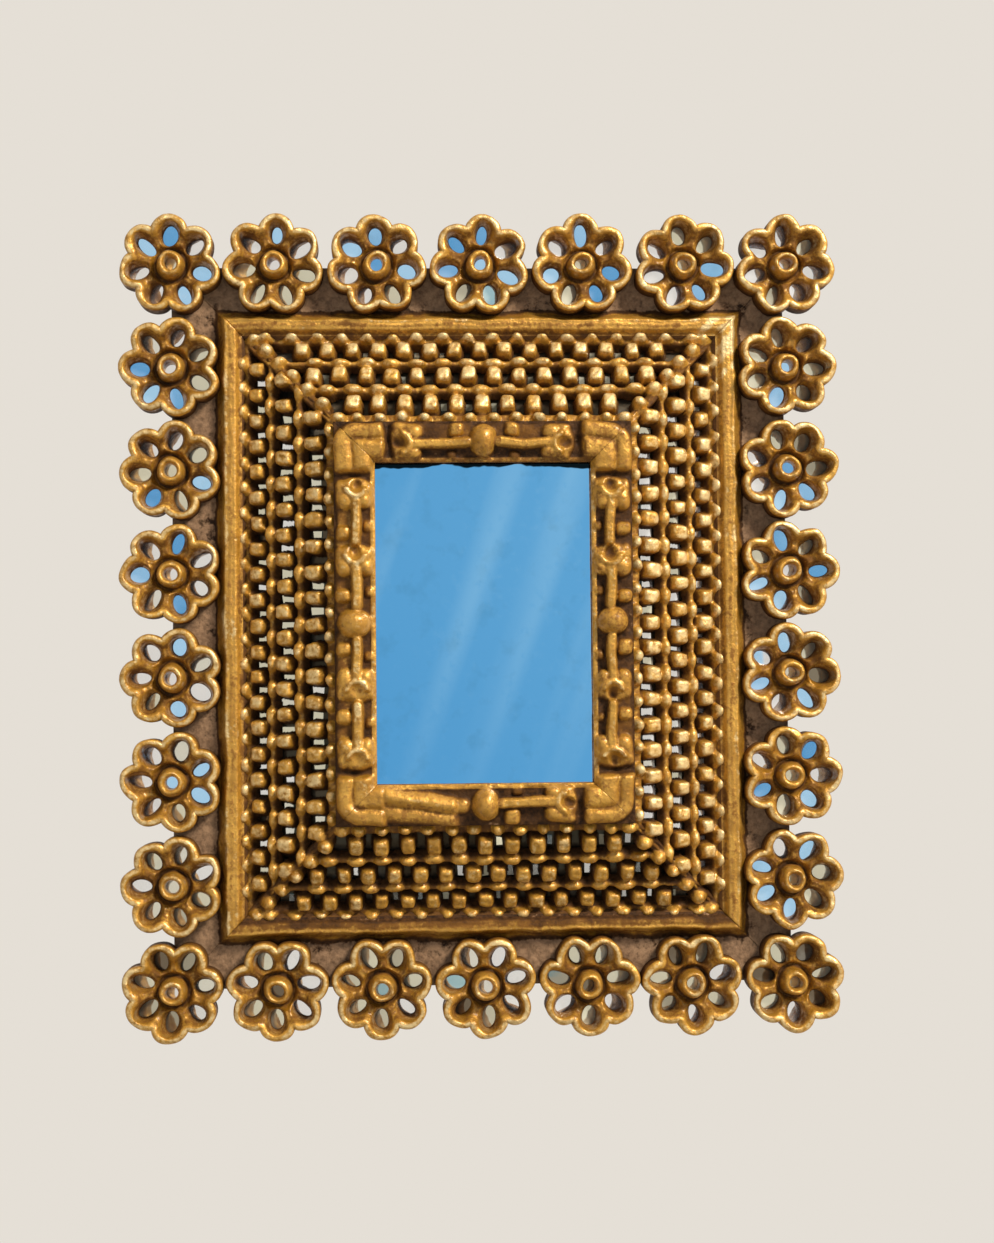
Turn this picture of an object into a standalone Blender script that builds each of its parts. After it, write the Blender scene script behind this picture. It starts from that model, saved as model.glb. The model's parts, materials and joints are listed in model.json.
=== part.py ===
"""Giltwood wall mirror with a rosette border, sloping pierced lattice panels and a carved sight moulding.

The pieces are drawn as seen from the front: X to the right, Y up, Z out from the wall.
An empty then stands the drawing up, so the mirror faces -Y with its back panel in the plane Y = 0.
"u" below is the distance inwards from the line of rosette centres, and "d" the distance out from the wall.
"""

import math

import bmesh
import bpy
from mathutils import Matrix, Vector

MM = 0.001

# Driving dimensions
CLEARANCE = 0.3 * MM
ROSETTES_ACROSS = 7
ROSETTES_DOWN = 8
ROSETTE_GAP = 0.6 * MM

PETALS = 7
PETAL_CENTRE = 15.4 * MM
PETAL_ROUND = 9.3 * MM
PETAL_ARC_STEPS = 4
ROSETTE_THICKNESS = 12.0 * MM
CUP_LENGTH = 12.4 * MM
CUP_WIDTH = 9.2 * MM
WINDOW_TAPER = 0.64
WINDOW_CORNERS = 5
HUB_RADIUS = 7.6 * MM
HUB_TOP_RADIUS = 6.2 * MM
HUB_RISE = 2.2 * MM
HUB_HOLE_RADIUS = 3.2 * MM

PANEL_THICKNESS = 4.0 * MM
BOARD_THICKNESS = 11.2 * MM
ROSETTE_BED = 0.5 * MM
BAND_FOOT_U = 24.6 * MM
BAND_WIDTH = 9.4 * MM
BAND_RISE = 8.0 * MM
SHELF_LENGTH = 3.5 * MM

LATTICE_RUN = 44.0 * MM
LATTICE_RISE = 22.0 * MM
LATTICE_STEP = 4.0 * MM
LATTICE_THICKNESS = 8.0 * MM
LATTICE_ROWS = 3
LATTICE_PITCH = 12.4 * MM
LATTICE_HOLE_WIDTH = 5.8 * MM
LATTICE_RAIL = 5.2 * MM
LATTICE_EDGE = 5.3 * MM
MITRE_MARGIN = 6.5 * MM
STRIP_EDGE = 4.5 * MM

SIGHT_WIDTH = 19.6 * MM
SIGHT_BULGE = 4.6 * MM
SIGHT_LIP = 3.2 * MM
SIGHT_SINK = 4.5 * MM
RABBET = 6.0 * MM
BALL_RADIUS = 7.4 * MM
SCROLL_LENGTH = 25.0 * MM
SCROLL_WIDTH = 12.0 * MM
SCROLL_RISE = 3.4 * MM

GLASS_THICKNESS = 3.0 * MM
CHIP_THICKNESS = 2.0 * MM
CHIP_OVERLAP = 1.2 * MM
BACKING_THICKNESS = 3.0 * MM

PIN_RADIUS = 0.8 * MM
PIN_LENGTH = 11.0 * MM
BRAD_RADIUS = 0.6 * MM
BRAD_LENGTH = 9.0 * MM
BRAD_IN_WOOD = 4.6 * MM

WIRE_RADIUS = 0.8 * MM
STRAP_THICKNESS = 0.8 * MM
STRAP_WIDTH = 9.0 * MM
STRAP_LENGTH = 12.0 * MM
STRAP_GAP = 1.85 * MM
EYE_WIDTH = 11.0 * MM
EYE_LENGTH = 9.0 * MM
SCREW_RADIUS = 1.1 * MM
SCREW_LENGTH = 8.0 * MM
SCREW_HEAD_RADIUS = 2.1 * MM
SCREW_HEAD_HEIGHT = 1.1 * MM
SCREW_SPACING = 5.4 * MM

# Derived dimensions
ROSETTE_RADIUS = PETAL_CENTRE + PETAL_ROUND
PITCH = 2 * ROSETTE_RADIUS + ROSETTE_GAP
HALF_WIDTH = PITCH * (ROSETTES_ACROSS - 1) / 2
HALF_HEIGHT = PITCH * (ROSETTES_DOWN - 1) / 2
BOARD_BACK = PANEL_THICKNESS + CLEARANCE
LEDGE = BOARD_BACK + BOARD_THICKNESS
ROSETTE_BACK = LEDGE - ROSETTE_BED
ROSETTE_FRONT = ROSETTE_BACK + ROSETTE_THICKNESS
CHIP_RADIUS = PETAL_CENTRE + CUP_LENGTH * WINDOW_TAPER / 2 + CHIP_OVERLAP
CHIP_FRONT = ROSETTE_BACK - CLEARANCE
CHIP_BACK = CHIP_FRONT - CHIP_THICKNESS
BAND_INNER_U = BAND_FOOT_U + BAND_WIDTH

SLOPE = math.atan2(LATTICE_RISE, LATTICE_RUN)
ALONG = Vector((math.cos(SLOPE), math.sin(SLOPE)))
BELOW = Vector((math.sin(SLOPE), -math.cos(SLOPE)))
LATTICE_LENGTH = math.hypot(LATTICE_RUN, LATTICE_RISE)
LATTICE_FOOT = Vector((BAND_INNER_U + 2 * CLEARANCE, LEDGE + LATTICE_STEP))
LATTICE_HEAD = LATTICE_FOOT + ALONG * LATTICE_LENGTH
LATTICE_HOLE_LENGTH = (
    LATTICE_LENGTH - 2 * LATTICE_EDGE - (LATTICE_ROWS - 1) * LATTICE_RAIL
) / LATTICE_ROWS

SIGHT_OUTER = LATTICE_HEAD + ALONG * CLEARANCE
OPENING_U = SIGHT_OUTER.x + SIGHT_WIDTH
LIP_BACK = SIGHT_OUTER.y - SIGHT_SINK
RABBET_U = OPENING_U - RABBET
GLASS_FRONT = LIP_BACK - CLEARANCE
GLASS_BACK = GLASS_FRONT - GLASS_THICKNESS
BACKING_FRONT = GLASS_BACK - CLEARANCE
BACKING_BACK = BACKING_FRONT - BACKING_THICKNESS
BRAD_D = BACKING_BACK - CLEARANCE - BRAD_RADIUS
SIGHT_BACK = BRAD_D - BRAD_RADIUS - 2 * MM
PANEL_U = (BAND_FOOT_U + BAND_INNER_U + SHELF_LENGTH) / 2 + 4 * MM
PIN_U = PANEL_U + 3 * MM

KNUCKLE_INNER = WIRE_RADIUS + CLEARANCE
KNUCKLE_OUTER = KNUCKLE_INNER + STRAP_THICKNESS
KNUCKLE_D = BOARD_BACK - CLEARANCE - KNUCKLE_OUTER
STRAP_FRONT = BOARD_BACK - CLEARANCE
STRAP_BACK = STRAP_FRONT - STRAP_THICKNESS
STRAP_END_U = PANEL_U - STRAP_GAP
STRAP_LEG_U = STRAP_END_U - STRAP_LENGTH
KNUCKLE_U = STRAP_LEG_U - CLEARANCE - EYE_LENGTH - 3 * WIRE_RADIUS

# Name, turn about the view axis, distance of the rosette line from the middle, half the line's length
SIDES = (
    ("top", 0.0, HALF_HEIGHT, HALF_WIDTH),
    ("right", -math.pi / 2, HALF_WIDTH, HALF_HEIGHT),
    ("bottom", math.pi, HALF_HEIGHT, HALF_WIDTH),
    ("left", math.pi / 2, HALF_WIDTH, HALF_HEIGHT),
)

# Takes a profile drawn as (Y, Z) and extruded along its normal to the bar that it stands for
PROFILE_TO_BAR = Matrix(((0, 0, 1, 0), (1, 0, 0, 0), (0, 1, 0, 0), (0, 0, 0, 1)))


def start_scene():
    for obj in list(bpy.data.objects):
        bpy.data.objects.remove(obj, do_unlink=True)
    groups = []
    for name in ("giltwood_mirror", "cutters"):
        group = bpy.data.collections.new(name)
        bpy.context.scene.collection.children.link(group)
        groups.append(group)
    stand = bpy.data.objects.new("stand_upright", None)
    stand.rotation_euler.x = math.pi / 2
    groups[1].objects.link(stand)
    return groups[0], groups[1], stand


PARTS, CUTTERS, STAND = start_scene()


def make_material(name, colour, roughness, metallic):
    material = bpy.data.materials.new(name)
    material.use_nodes = True
    shader = material.node_tree.nodes["Principled BSDF"]
    shader.inputs["Base Color"].default_value = (*colour, 1)
    shader.inputs["Roughness"].default_value = roughness
    shader.inputs["Metallic"].default_value = metallic
    return material


GILT = make_material("gilt_wood", (0.55, 0.33, 0.08), 0.38, 0.8)
MIRROR = make_material("silvered_glass", (0.82, 0.86, 0.88), 0.03, 1.0)
BARE_WOOD = make_material("bare_wood", (0.33, 0.21, 0.12), 0.7, 0.0)
STEEL = make_material("plain_steel", (0.55, 0.55, 0.53), 0.4, 1.0)


def add_part(name, mesh, material, turn=0.0, location=(0, 0, 0)):
    mesh.materials.clear()
    mesh.materials.append(material)
    obj = bpy.data.objects.new(name, mesh)
    obj.parent = STAND
    obj.location = location
    obj.rotation_euler.z = turn
    PARTS.objects.link(obj)
    return obj


def add_cutter(name, mesh, turn=0.0, location=(0, 0, 0)):
    obj = bpy.data.objects.new(name, mesh)
    obj.parent = STAND
    obj.location = location
    obj.rotation_euler.z = turn
    obj.hide_render = True
    obj.display_type = "WIRE"
    CUTTERS.objects.link(obj)
    return obj


def add_boolean(obj, other, operation):
    modifier = obj.modifiers.new(operation.lower() + "_" + other.name, "BOOLEAN")
    modifier.operation = operation
    modifier.solver = "EXACT"
    modifier.object = other
    return modifier


def add_cleaning(obj):
    """Joins the flat facets that the Booleans leave."""
    modifier = obj.modifiers.new("join_flat_facets", "DECIMATE")
    modifier.decimate_type = "DISSOLVE"
    modifier.angle_limit = math.radians(0.3)


def edit_mesh(mesh, change):
    """Runs change on the mesh's bmesh, with the normals facing out afterwards."""
    bm = bmesh.new()
    bm.from_mesh(mesh)
    change(bm)
    bmesh.ops.recalc_face_normals(bm, faces=bm.faces)
    bm.to_mesh(mesh)
    bm.free()
    return mesh


def evaluated_mesh(obj):
    bpy.context.view_layer.update()
    graph = bpy.context.evaluated_depsgraph_get()
    mesh = bpy.data.meshes.new_from_object(obj.evaluated_get(graph))
    bpy.data.objects.remove(obj, do_unlink=True)
    return edit_mesh(mesh, lambda bm: bmesh.ops.remove_doubles(bm, verts=bm.verts, dist=1e-6))


def plate(name, loops, low, high):
    """A flat plate from Z = low to Z = high; the first loop is its outline and the others are holes."""
    curve = bpy.data.curves.new(name, "CURVE")
    curve.dimensions = "2D"
    curve.fill_mode = "BOTH"
    curve.extrude = (high - low) / 2
    for loop in loops:
        spline = curve.splines.new("POLY")
        spline.points.add(len(loop) - 1)
        for point, (x, y) in zip(spline.points, loop):
            point.co = (x, y, 0, 1)
        spline.use_cyclic_u = True
    obj = bpy.data.objects.new(name, curve)
    CUTTERS.objects.link(obj)
    mesh = evaluated_mesh(obj)
    mesh.transform(Matrix.Translation((0, 0, (low + high) / 2)))
    return mesh


def ngon(radius, corners, turn=math.pi / 2):
    angles = [turn + 2 * math.pi * k / corners for k in range(corners)]
    return [(radius * math.cos(angle), radius * math.sin(angle)) for angle in angles]


def box(half_x, half_y):
    return [(-half_x, -half_y), (half_x, -half_y), (half_x, half_y), (-half_x, half_y)]


def joined(name, meshes_and_places):
    """One mesh from several that stand apart, each moved to its place."""
    bm = bmesh.new()
    for mesh, place in meshes_and_places:
        copy = mesh.copy()
        copy.transform(place)
        bm.from_mesh(copy)
        bpy.data.meshes.remove(copy)
    result = bpy.data.meshes.new(name)
    bm.to_mesh(result)
    bm.free()
    return result


def fit_mitres(mesh, span, half_line):
    """Draws the ends of a side in to the 45 degree planes through the corners."""

    def change(bm):
        for vert in bm.verts:
            end = half_line - span + vert.co.y - CLEARANCE / math.sqrt(2)
            if abs(vert.co.x) > end - CLEARANCE:
                vert.co.x = math.copysign(end, vert.co.x)

    return edit_mesh(mesh, change)


def mitred_bar(name, profile, span, half_line):
    """A bar with the profile, given as (u, d) points, along one side of the mirror."""
    loop = [(span - u, d) for u, d in profile]
    mesh = plate(name, [loop], -half_line - span, half_line + span)
    mesh.transform(PROFILE_TO_BAR)
    return fit_mitres(mesh, span, half_line)


def trapezium(low, high, half_line):
    """Outline of a panel on the slope, between two distances up the slope."""
    low_half = half_line - LATTICE_FOOT.x - low * ALONG.x
    high_half = half_line - LATTICE_FOOT.x - high * ALONG.x
    return [(-low_half, low), (low_half, low), (high_half, high), (-high_half, high)]


def lay_on_slope(mesh, span):
    """Takes a panel drawn as (x, distance up the slope) to its place on the lattice slope."""
    up_slope = Vector((0, -ALONG.x, ALONG.y))
    outwards = Vector((0, BELOW.x, -BELOW.y))
    lean = Matrix((Vector((-1, 0, 0)), up_slope, outwards)).transposed().to_4x4()
    mesh.transform(Matrix.Translation((0, span - LATTICE_FOOT.x, LATTICE_FOOT.y)) @ lean)
    return mesh


def petal_outline():
    """The rosette's outline: an arc for each petal, from one valley to the next."""
    half_sector = math.pi / PETALS
    valley_y = math.sqrt(PETAL_ROUND**2 - (PETAL_CENTRE * math.sin(half_sector)) ** 2)
    valley = PETAL_CENTRE * math.cos(half_sector) + valley_y
    edge = math.atan2(valley * math.sin(half_sector), valley * math.cos(half_sector) - PETAL_CENTRE)
    points = []
    for petal in range(PETALS):
        axis = math.pi / 2 + petal * 2 * half_sector
        for step in range(PETAL_ARC_STEPS):
            bend = edge * (2 * step / PETAL_ARC_STEPS - 1)
            x = PETAL_CENTRE + PETAL_ROUND * math.cos(bend)
            y = PETAL_ROUND * math.sin(bend)
            points.append(
                (x * math.cos(axis) - y * math.sin(axis), x * math.sin(axis) + y * math.cos(axis))
            )
    return points


def petal_window(petal):
    axis = math.pi / 2 + petal * 2 * math.pi / PETALS
    points = []
    for x, y in ngon(1.0, WINDOW_CORNERS, math.pi):
        x = PETAL_CENTRE + x * CUP_LENGTH / 2
        y = y * CUP_WIDTH / 2
        points.append((x * math.cos(axis) - y * math.sin(axis), x * math.sin(axis) + y * math.cos(axis)))
    return points


def taper_windows(bm):
    """Draws the back edge of each petal window in towards the petal's centre."""
    sector = 2 * math.pi / PETALS
    for vert in bm.verts:
        petal = round((math.atan2(vert.co.y, vert.co.x) - math.pi / 2) / sector)
        axis = math.pi / 2 + petal * sector
        centre = Vector((PETAL_CENTRE * math.cos(axis), PETAL_CENTRE * math.sin(axis), vert.co.z))
        offset = vert.co - centre
        along = offset.x * math.cos(axis) + offset.y * math.sin(axis)
        across = offset.y * math.cos(axis) - offset.x * math.sin(axis)
        on_window = (2 * along / CUP_LENGTH) ** 2 + (2 * across / CUP_WIDTH) ** 2 < 1.01
        if on_window and vert.co.z < (ROSETTE_BACK + ROSETTE_FRONT) / 2:
            vert.co = centre + offset * WINDOW_TAPER


def make_rosette():
    """The pierced rosette that all the borders share: lobed plate, tapering windows and hollow hub."""
    loops = [petal_outline()] + [petal_window(petal) for petal in range(PETALS)]
    blank = plate("rosette_blank", loops, ROSETTE_BACK, ROSETTE_FRONT)
    edit_mesh(blank, taper_windows)
    hub_bm = bmesh.new()
    hub_low = ROSETTE_FRONT - 2 * HUB_RISE
    hub_high = ROSETTE_FRONT + HUB_RISE
    bmesh.ops.create_cone(
        hub_bm,
        cap_ends=True,
        segments=PETALS,
        radius1=HUB_RADIUS,
        radius2=HUB_TOP_RADIUS,
        depth=hub_high - hub_low,
        matrix=Matrix.Translation((0, 0, (hub_low + hub_high) / 2)) @ Matrix.Rotation(math.pi / 2, 4, "Z"),
    )
    hub_mesh = bpy.data.meshes.new("hub")
    hub_bm.to_mesh(hub_mesh)
    hub_bm.free()
    hole_mesh = plate("hub_hole", [ngon(HUB_HOLE_RADIUS, PETALS)], ROSETTE_BACK - MM, hub_high + MM)
    hub = add_cutter("hub", hub_mesh)
    hole = add_cutter("hub_hole", hole_mesh)
    rosette = add_cutter("rosette_blank", blank)
    add_boolean(rosette, hub, "UNION")
    add_boolean(rosette, hole, "DIFFERENCE")
    mesh = evaluated_mesh(rosette)
    bpy.data.objects.remove(hub)
    bpy.data.objects.remove(hole)
    return mesh


def border_profile():
    """The rail: board, ledge, gilt band, and the sloping seat and shelf that carry the lattice panel."""
    seat_top = LATTICE_FOOT - ALONG * CLEARANCE
    seat_low = LATTICE_FOOT + BELOW * (LATTICE_THICKNESS + CLEARANCE) - ALONG * CLEARANCE
    shelf_end = seat_low + ALONG * (SHELF_LENGTH + CLEARANCE)
    crown = LEDGE + BAND_RISE
    return [
        (0, BOARD_BACK),
        (shelf_end.x, BOARD_BACK),
        tuple(shelf_end),
        tuple(seat_low),
        tuple(seat_top),
        (BAND_INNER_U - BAND_WIDTH * 0.12, crown - BAND_RISE * 0.18),
        (BAND_INNER_U - BAND_WIDTH * 0.32, crown),
        (BAND_FOOT_U + BAND_WIDTH * 0.34, crown),
        (BAND_FOOT_U + BAND_WIDTH * 0.1, crown - BAND_RISE * 0.3),
        (BAND_FOOT_U, LEDGE),
        (0, LEDGE),
    ]


def rosette_places(span, half_line, with_corners):
    count = round(2 * half_line / PITCH) + 1
    first = 0 if with_corners else 1
    return [Vector((-half_line + k * PITCH, span, 0)) for k in range(first, count - first)]


def pin_places(name, half_line):
    if name in ("top", "bottom"):
        return [0.0]
    return [-half_line / 2, half_line / 2]


def add_borders(rosette):
    chip_loop = [ngon(CHIP_RADIUS + CLEARANCE, PETALS)]
    pocket = plate("chip_pocket", chip_loop, CHIP_BACK - CLEARANCE, LEDGE + MM)
    recess_loop = [ngon(ROSETTE_RADIUS + 2 * CLEARANCE, 24)]
    recess = plate("corner_recess", recess_loop, ROSETTE_BACK - CLEARANCE, ROSETTE_FRONT)
    pin_hole = plate(
        "pin_hole", [ngon(PIN_RADIUS + CLEARANCE, 6)], BOARD_BACK - MM, PIN_LENGTH + 2 * CLEARANCE
    )
    screw_hole = plate(
        "screw_hole", [ngon(SCREW_RADIUS + CLEARANCE, 8)], BOARD_BACK - MM, BOARD_BACK + SCREW_LENGTH
    )
    for name, turn, span, half_line in SIDES:
        across = name in ("top", "bottom")
        bar = mitred_bar("border_" + name, border_profile(), span, half_line)
        border = add_part("border_" + name, bar, GILT, turn)
        corners = [Vector((-half_line, span, 0)), Vector((half_line, span, 0))]
        own = rosette_places(span, half_line, across)
        cuts = [(pocket, Matrix.Translation(place)) for place in own]
        if not across:
            for sign, corner in zip((1, -1), corners):
                spin = Matrix.Rotation(sign * math.pi / 2, 4, "Z")
                cuts.append((pocket, Matrix.Translation(corner) @ spin))
        pockets = add_cutter("pockets_" + name, joined("pockets_" + name, cuts), turn)
        add_boolean(border, pockets, "DIFFERENCE")
        holes = [
            (pin_hole, Matrix.Translation((x, span - PIN_U, 0))) for x in pin_places(name, half_line)
        ]
        if name == "top":
            holes += [(screw_hole, Matrix.Translation((0, span - u, 0))) for u in screw_places()]
        holes_cutter = add_cutter("holes_" + name, joined("holes_" + name, holes), turn)
        add_boolean(border, holes_cutter, "DIFFERENCE")
        if not across:
            laps = joined("laps_" + name, [(recess, Matrix.Translation(corner)) for corner in corners])
            add_boolean(border, add_cutter("laps_" + name, laps, turn), "DIFFERENCE")
        flowers = joined("rosettes_" + name, [(rosette, Matrix.Translation(place)) for place in own])
        add_boolean(border, add_cutter("rosettes_" + name, flowers, turn), "UNION")
        add_cleaning(border)


def add_rosette_mirrors():
    chip = plate("rosette_mirror", [ngon(CHIP_RADIUS, PETALS)], CHIP_BACK, CHIP_FRONT)
    for name, turn, span, half_line in SIDES:
        across = name in ("top", "bottom")
        spin = Matrix.Rotation(turn, 4, "Z")
        for number, place in enumerate(rosette_places(span, half_line, across), 1):
            add_part(f"rosette_mirror_{name}_{number}", chip, MIRROR, turn, spin @ place)


def lattice_loops(half_line):
    """The panel's outline and its staggered rows of holes."""
    loops = [trapezium(0, LATTICE_LENGTH, half_line)]
    for row in range(LATTICE_ROWS):
        low = LATTICE_EDGE + row * (LATTICE_HOLE_LENGTH + LATTICE_RAIL)
        high = low + LATTICE_HOLE_LENGTH
        reach = half_line - LATTICE_FOOT.x - high * ALONG.x - MITRE_MARGIN - LATTICE_HOLE_WIDTH / 2
        shift = 0.5 if row % 2 == 0 else 0.0
        count = math.ceil(reach / LATTICE_PITCH)
        for k in range(-count, count + 1):
            centre = (k + shift) * LATTICE_PITCH
            if abs(centre) > reach:
                continue
            left = centre - LATTICE_HOLE_WIDTH / 2
            right = centre + LATTICE_HOLE_WIDTH / 2
            loops.append([(left, low), (right, low), (right, high), (left, high)])
    return loops


def add_lattices():
    for name, turn, span, half_line in SIDES:
        panel = plate("lattice_" + name, lattice_loops(half_line), -LATTICE_THICKNESS, 0)
        fit_mitres(lay_on_slope(panel, span), span, half_line)
        add_part("lattice_" + name, panel, GILT, turn)
        strip_loop = trapezium(STRIP_EDGE, LATTICE_LENGTH - STRIP_EDGE, half_line)
        strip_front = -LATTICE_THICKNESS - CLEARANCE
        strip = plate("lattice_mirror_" + name, [strip_loop], strip_front - CHIP_THICKNESS, strip_front)
        fit_mitres(lay_on_slope(strip, span), span, half_line)
        add_part("lattice_mirror_" + name, strip, MIRROR, turn)


def sight_profile():
    """The inner moulding: sloping seat against the lattice, rounded front, lip and rabbet for the glass."""
    drop = (SIGHT_OUTER.y - SIGHT_BACK) / -BELOW.y
    seat_low = SIGHT_OUTER + BELOW * drop
    lip_front = LIP_BACK + SIGHT_LIP
    points = [
        tuple(seat_low),
        (RABBET_U, SIGHT_BACK),
        (RABBET_U, LIP_BACK),
        (OPENING_U, LIP_BACK),
        (OPENING_U, lip_front),
    ]
    inner_u = OPENING_U - 1.2 * MM
    for step in range(7):
        t = step / 6
        u = inner_u + (SIGHT_OUTER.x - inner_u) * (1 - math.cos(math.pi * t)) / 2
        base = lip_front + (SIGHT_OUTER.y - lip_front) * t
        points.append((u, base + SIGHT_BULGE * math.sin(math.pi * t)))
    return points


def blob(length, width, rise, sides, rings):
    """A rounded boss lying along X."""
    bm = bmesh.new()
    bmesh.ops.create_uvsphere(bm, u_segments=sides, v_segments=rings, radius=1.0)
    mesh = bpy.data.meshes.new("boss")
    bm.to_mesh(mesh)
    bm.free()
    mesh.transform(Matrix.Diagonal((length / 2, width / 2, rise, 1)))
    return mesh


def add_sight_mouldings():
    middle_u = (SIGHT_OUTER.x + OPENING_U) / 2
    crown = (SIGHT_OUTER.y + LIP_BACK + SIGHT_LIP) / 2 + SIGHT_BULGE
    ball = blob(2 * BALL_RADIUS, 2 * BALL_RADIUS, BALL_RADIUS, 10, 8)
    scroll = blob(SCROLL_LENGTH, SCROLL_WIDTH, 2 * SCROLL_RISE, 8, 6)
    for name, turn, span, half_line in SIDES:
        bar = mitred_bar("sight_moulding_" + name, sight_profile(), span, half_line)
        sight = add_part("sight_moulding_" + name, bar, GILT, turn)
        centre_y = span - middle_u
        carved = [(ball, Matrix.Translation((0, centre_y, crown - BALL_RADIUS * 0.35)))]
        for sign in (1, -1):
            x = sign * (BALL_RADIUS + SCROLL_LENGTH / 2 + 2 * MM)
            carved.append((scroll, Matrix.Translation((x, centre_y, crown - SCROLL_RISE * 0.8))))
        carving = joined("carving_" + name, carved)
        add_boolean(sight, add_cutter("carving_" + name, carving, turn), "UNION")
        brad_hole = plate(
            "brad_hole", [ngon(BRAD_RADIUS + CLEARANCE, 6)], -BRAD_IN_WOOD - 2 * CLEARANCE, BRAD_LENGTH
        )
        brad_hole.transform(brad_place(span))
        add_boolean(sight, add_cutter("brad_hole_" + name, brad_hole, turn), "DIFFERENCE")
        add_cleaning(sight)


def brad_place(span):
    """Lies a brad, drawn along Z from the rabbet wall, across the back of the backing board."""
    return Matrix.Translation((0, span - RABBET_U, BRAD_D)) @ Matrix.Rotation(math.pi / 2, 4, "X")


def add_glass():
    half_x = HALF_WIDTH - RABBET_U - CLEARANCE
    half_y = HALF_HEIGHT - RABBET_U - CLEARANCE
    glass = plate("looking_glass", [box(half_x, half_y)], GLASS_BACK, GLASS_FRONT)
    add_part("looking_glass", glass, MIRROR)
    backing = plate("glass_backing", [box(half_x, half_y)], BACKING_BACK, BACKING_FRONT)
    add_part("glass_backing", backing, BARE_WOOD)
    for name, turn, span, half_line in SIDES:
        brad = plate("glass_brad", [ngon(BRAD_RADIUS, 6)], -BRAD_IN_WOOD, BRAD_LENGTH - BRAD_IN_WOOD)
        brad.transform(brad_place(span))
        add_part("glass_brad_" + name, brad, STEEL, turn)


def add_back_panel():
    loops = [box(HALF_WIDTH - PANEL_U, HALF_HEIGHT - PANEL_U)]
    pin = plate("panel_pin", [ngon(PIN_RADIUS, 6)], CLEARANCE, PIN_LENGTH)
    for name, turn, span, half_line in SIDES:
        spin = Matrix.Rotation(turn, 4, "Z")
        for number, x in enumerate(pin_places(name, half_line), 1):
            place = spin @ Vector((x, span - PIN_U, 0))
            loops.append([(place.x + a, place.y + b) for a, b in ngon(PIN_RADIUS + CLEARANCE, 6)])
            add_part(f"panel_pin_{name}_{number}", pin, STEEL, 0.0, place)
    add_part("back_panel", plate("back_panel", loops, 0, PANEL_THICKNESS), BARE_WOOD)


def screw_places():
    """The two screws stand on the strap's leg, below the hanging ring."""
    middle = (STRAP_LEG_U + STRAP_END_U) / 2
    return [middle - SCREW_SPACING / 2, middle + SCREW_SPACING / 2]


def add_hanger():
    """Strap with a rolled knuckle, wire ring and two screws, on the back of the top rail."""
    bar_y = HALF_HEIGHT - KNUCKLE_U
    profile = knuckle_profile(bar_y, HALF_HEIGHT - STRAP_END_U)
    strap = plate("hanger_strap", [profile], -STRAP_WIDTH / 2, STRAP_WIDTH / 2)
    strap.transform(PROFILE_TO_BAR)
    strap_part = add_part("hanger_strap", strap, STEEL)
    hole = plate(
        "strap_hole", [ngon(SCREW_RADIUS + CLEARANCE, 8)], STRAP_BACK - MM, STRAP_FRONT + 0.15 * MM
    )
    places = [Matrix.Translation((0, HALF_HEIGHT - u, 0)) for u in screw_places()]
    holes = joined("strap_holes", [(hole, place) for place in places])
    add_boolean(strap_part, add_cutter("strap_holes", holes), "DIFFERENCE")
    for number, u in enumerate(screw_places(), 1):
        add_part(f"hanger_screw_{number}", screw_mesh(), STEEL, 0.0, (0, HALF_HEIGHT - u, 0))
    add_part("hanger_ring", ring_mesh(), STEEL, 0.0, (0, bar_y, KNUCKLE_D))


def knuckle_profile(bar_y, strap_end):
    """Side view of the strap as (Y, Z): a flat leg that rolls over the ring's bar and back."""
    angles = [math.radians(a) for a in range(90, -126, -30)]
    outer = [
        (bar_y + KNUCKLE_OUTER * math.cos(a), KNUCKLE_D + KNUCKLE_OUTER * math.sin(a)) for a in angles
    ]
    inner = [
        (bar_y + KNUCKLE_INNER * math.cos(a), KNUCKLE_D + KNUCKLE_INNER * math.sin(a)) for a in angles
    ]
    return [(strap_end, STRAP_BACK), (strap_end, STRAP_FRONT)] + outer + inner[::-1]


def screw_mesh():
    """A pan-head screw with its head behind the strap and its shank in the rail."""
    head_front = STRAP_BACK - CLEARANCE
    profile = [
        (0, head_front - SCREW_HEAD_HEIGHT),
        (SCREW_HEAD_RADIUS * 0.75, head_front - SCREW_HEAD_HEIGHT),
        (SCREW_HEAD_RADIUS, head_front - SCREW_HEAD_HEIGHT / 2),
        (SCREW_HEAD_RADIUS, head_front),
        (SCREW_RADIUS, head_front),
        (SCREW_RADIUS * 0.8, BOARD_BACK + SCREW_LENGTH * 0.7),
        (0, BOARD_BACK + SCREW_LENGTH - MM),
    ]
    mesh = bpy.data.meshes.new("hanger_screw")
    edges = [(k, k + 1) for k in range(len(profile) - 1)]
    mesh.from_pydata([(r, 0, z) for r, z in profile], edges, [])
    obj = bpy.data.objects.new("hanger_screw_profile", mesh)
    CUTTERS.objects.link(obj)
    turning = obj.modifiers.new("turning", "SCREW")
    turning.steps = 8
    turning.render_steps = 8
    turning.use_merge_vertices = True
    turning.merge_threshold = 0.00001
    return evaluated_mesh(obj)


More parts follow.
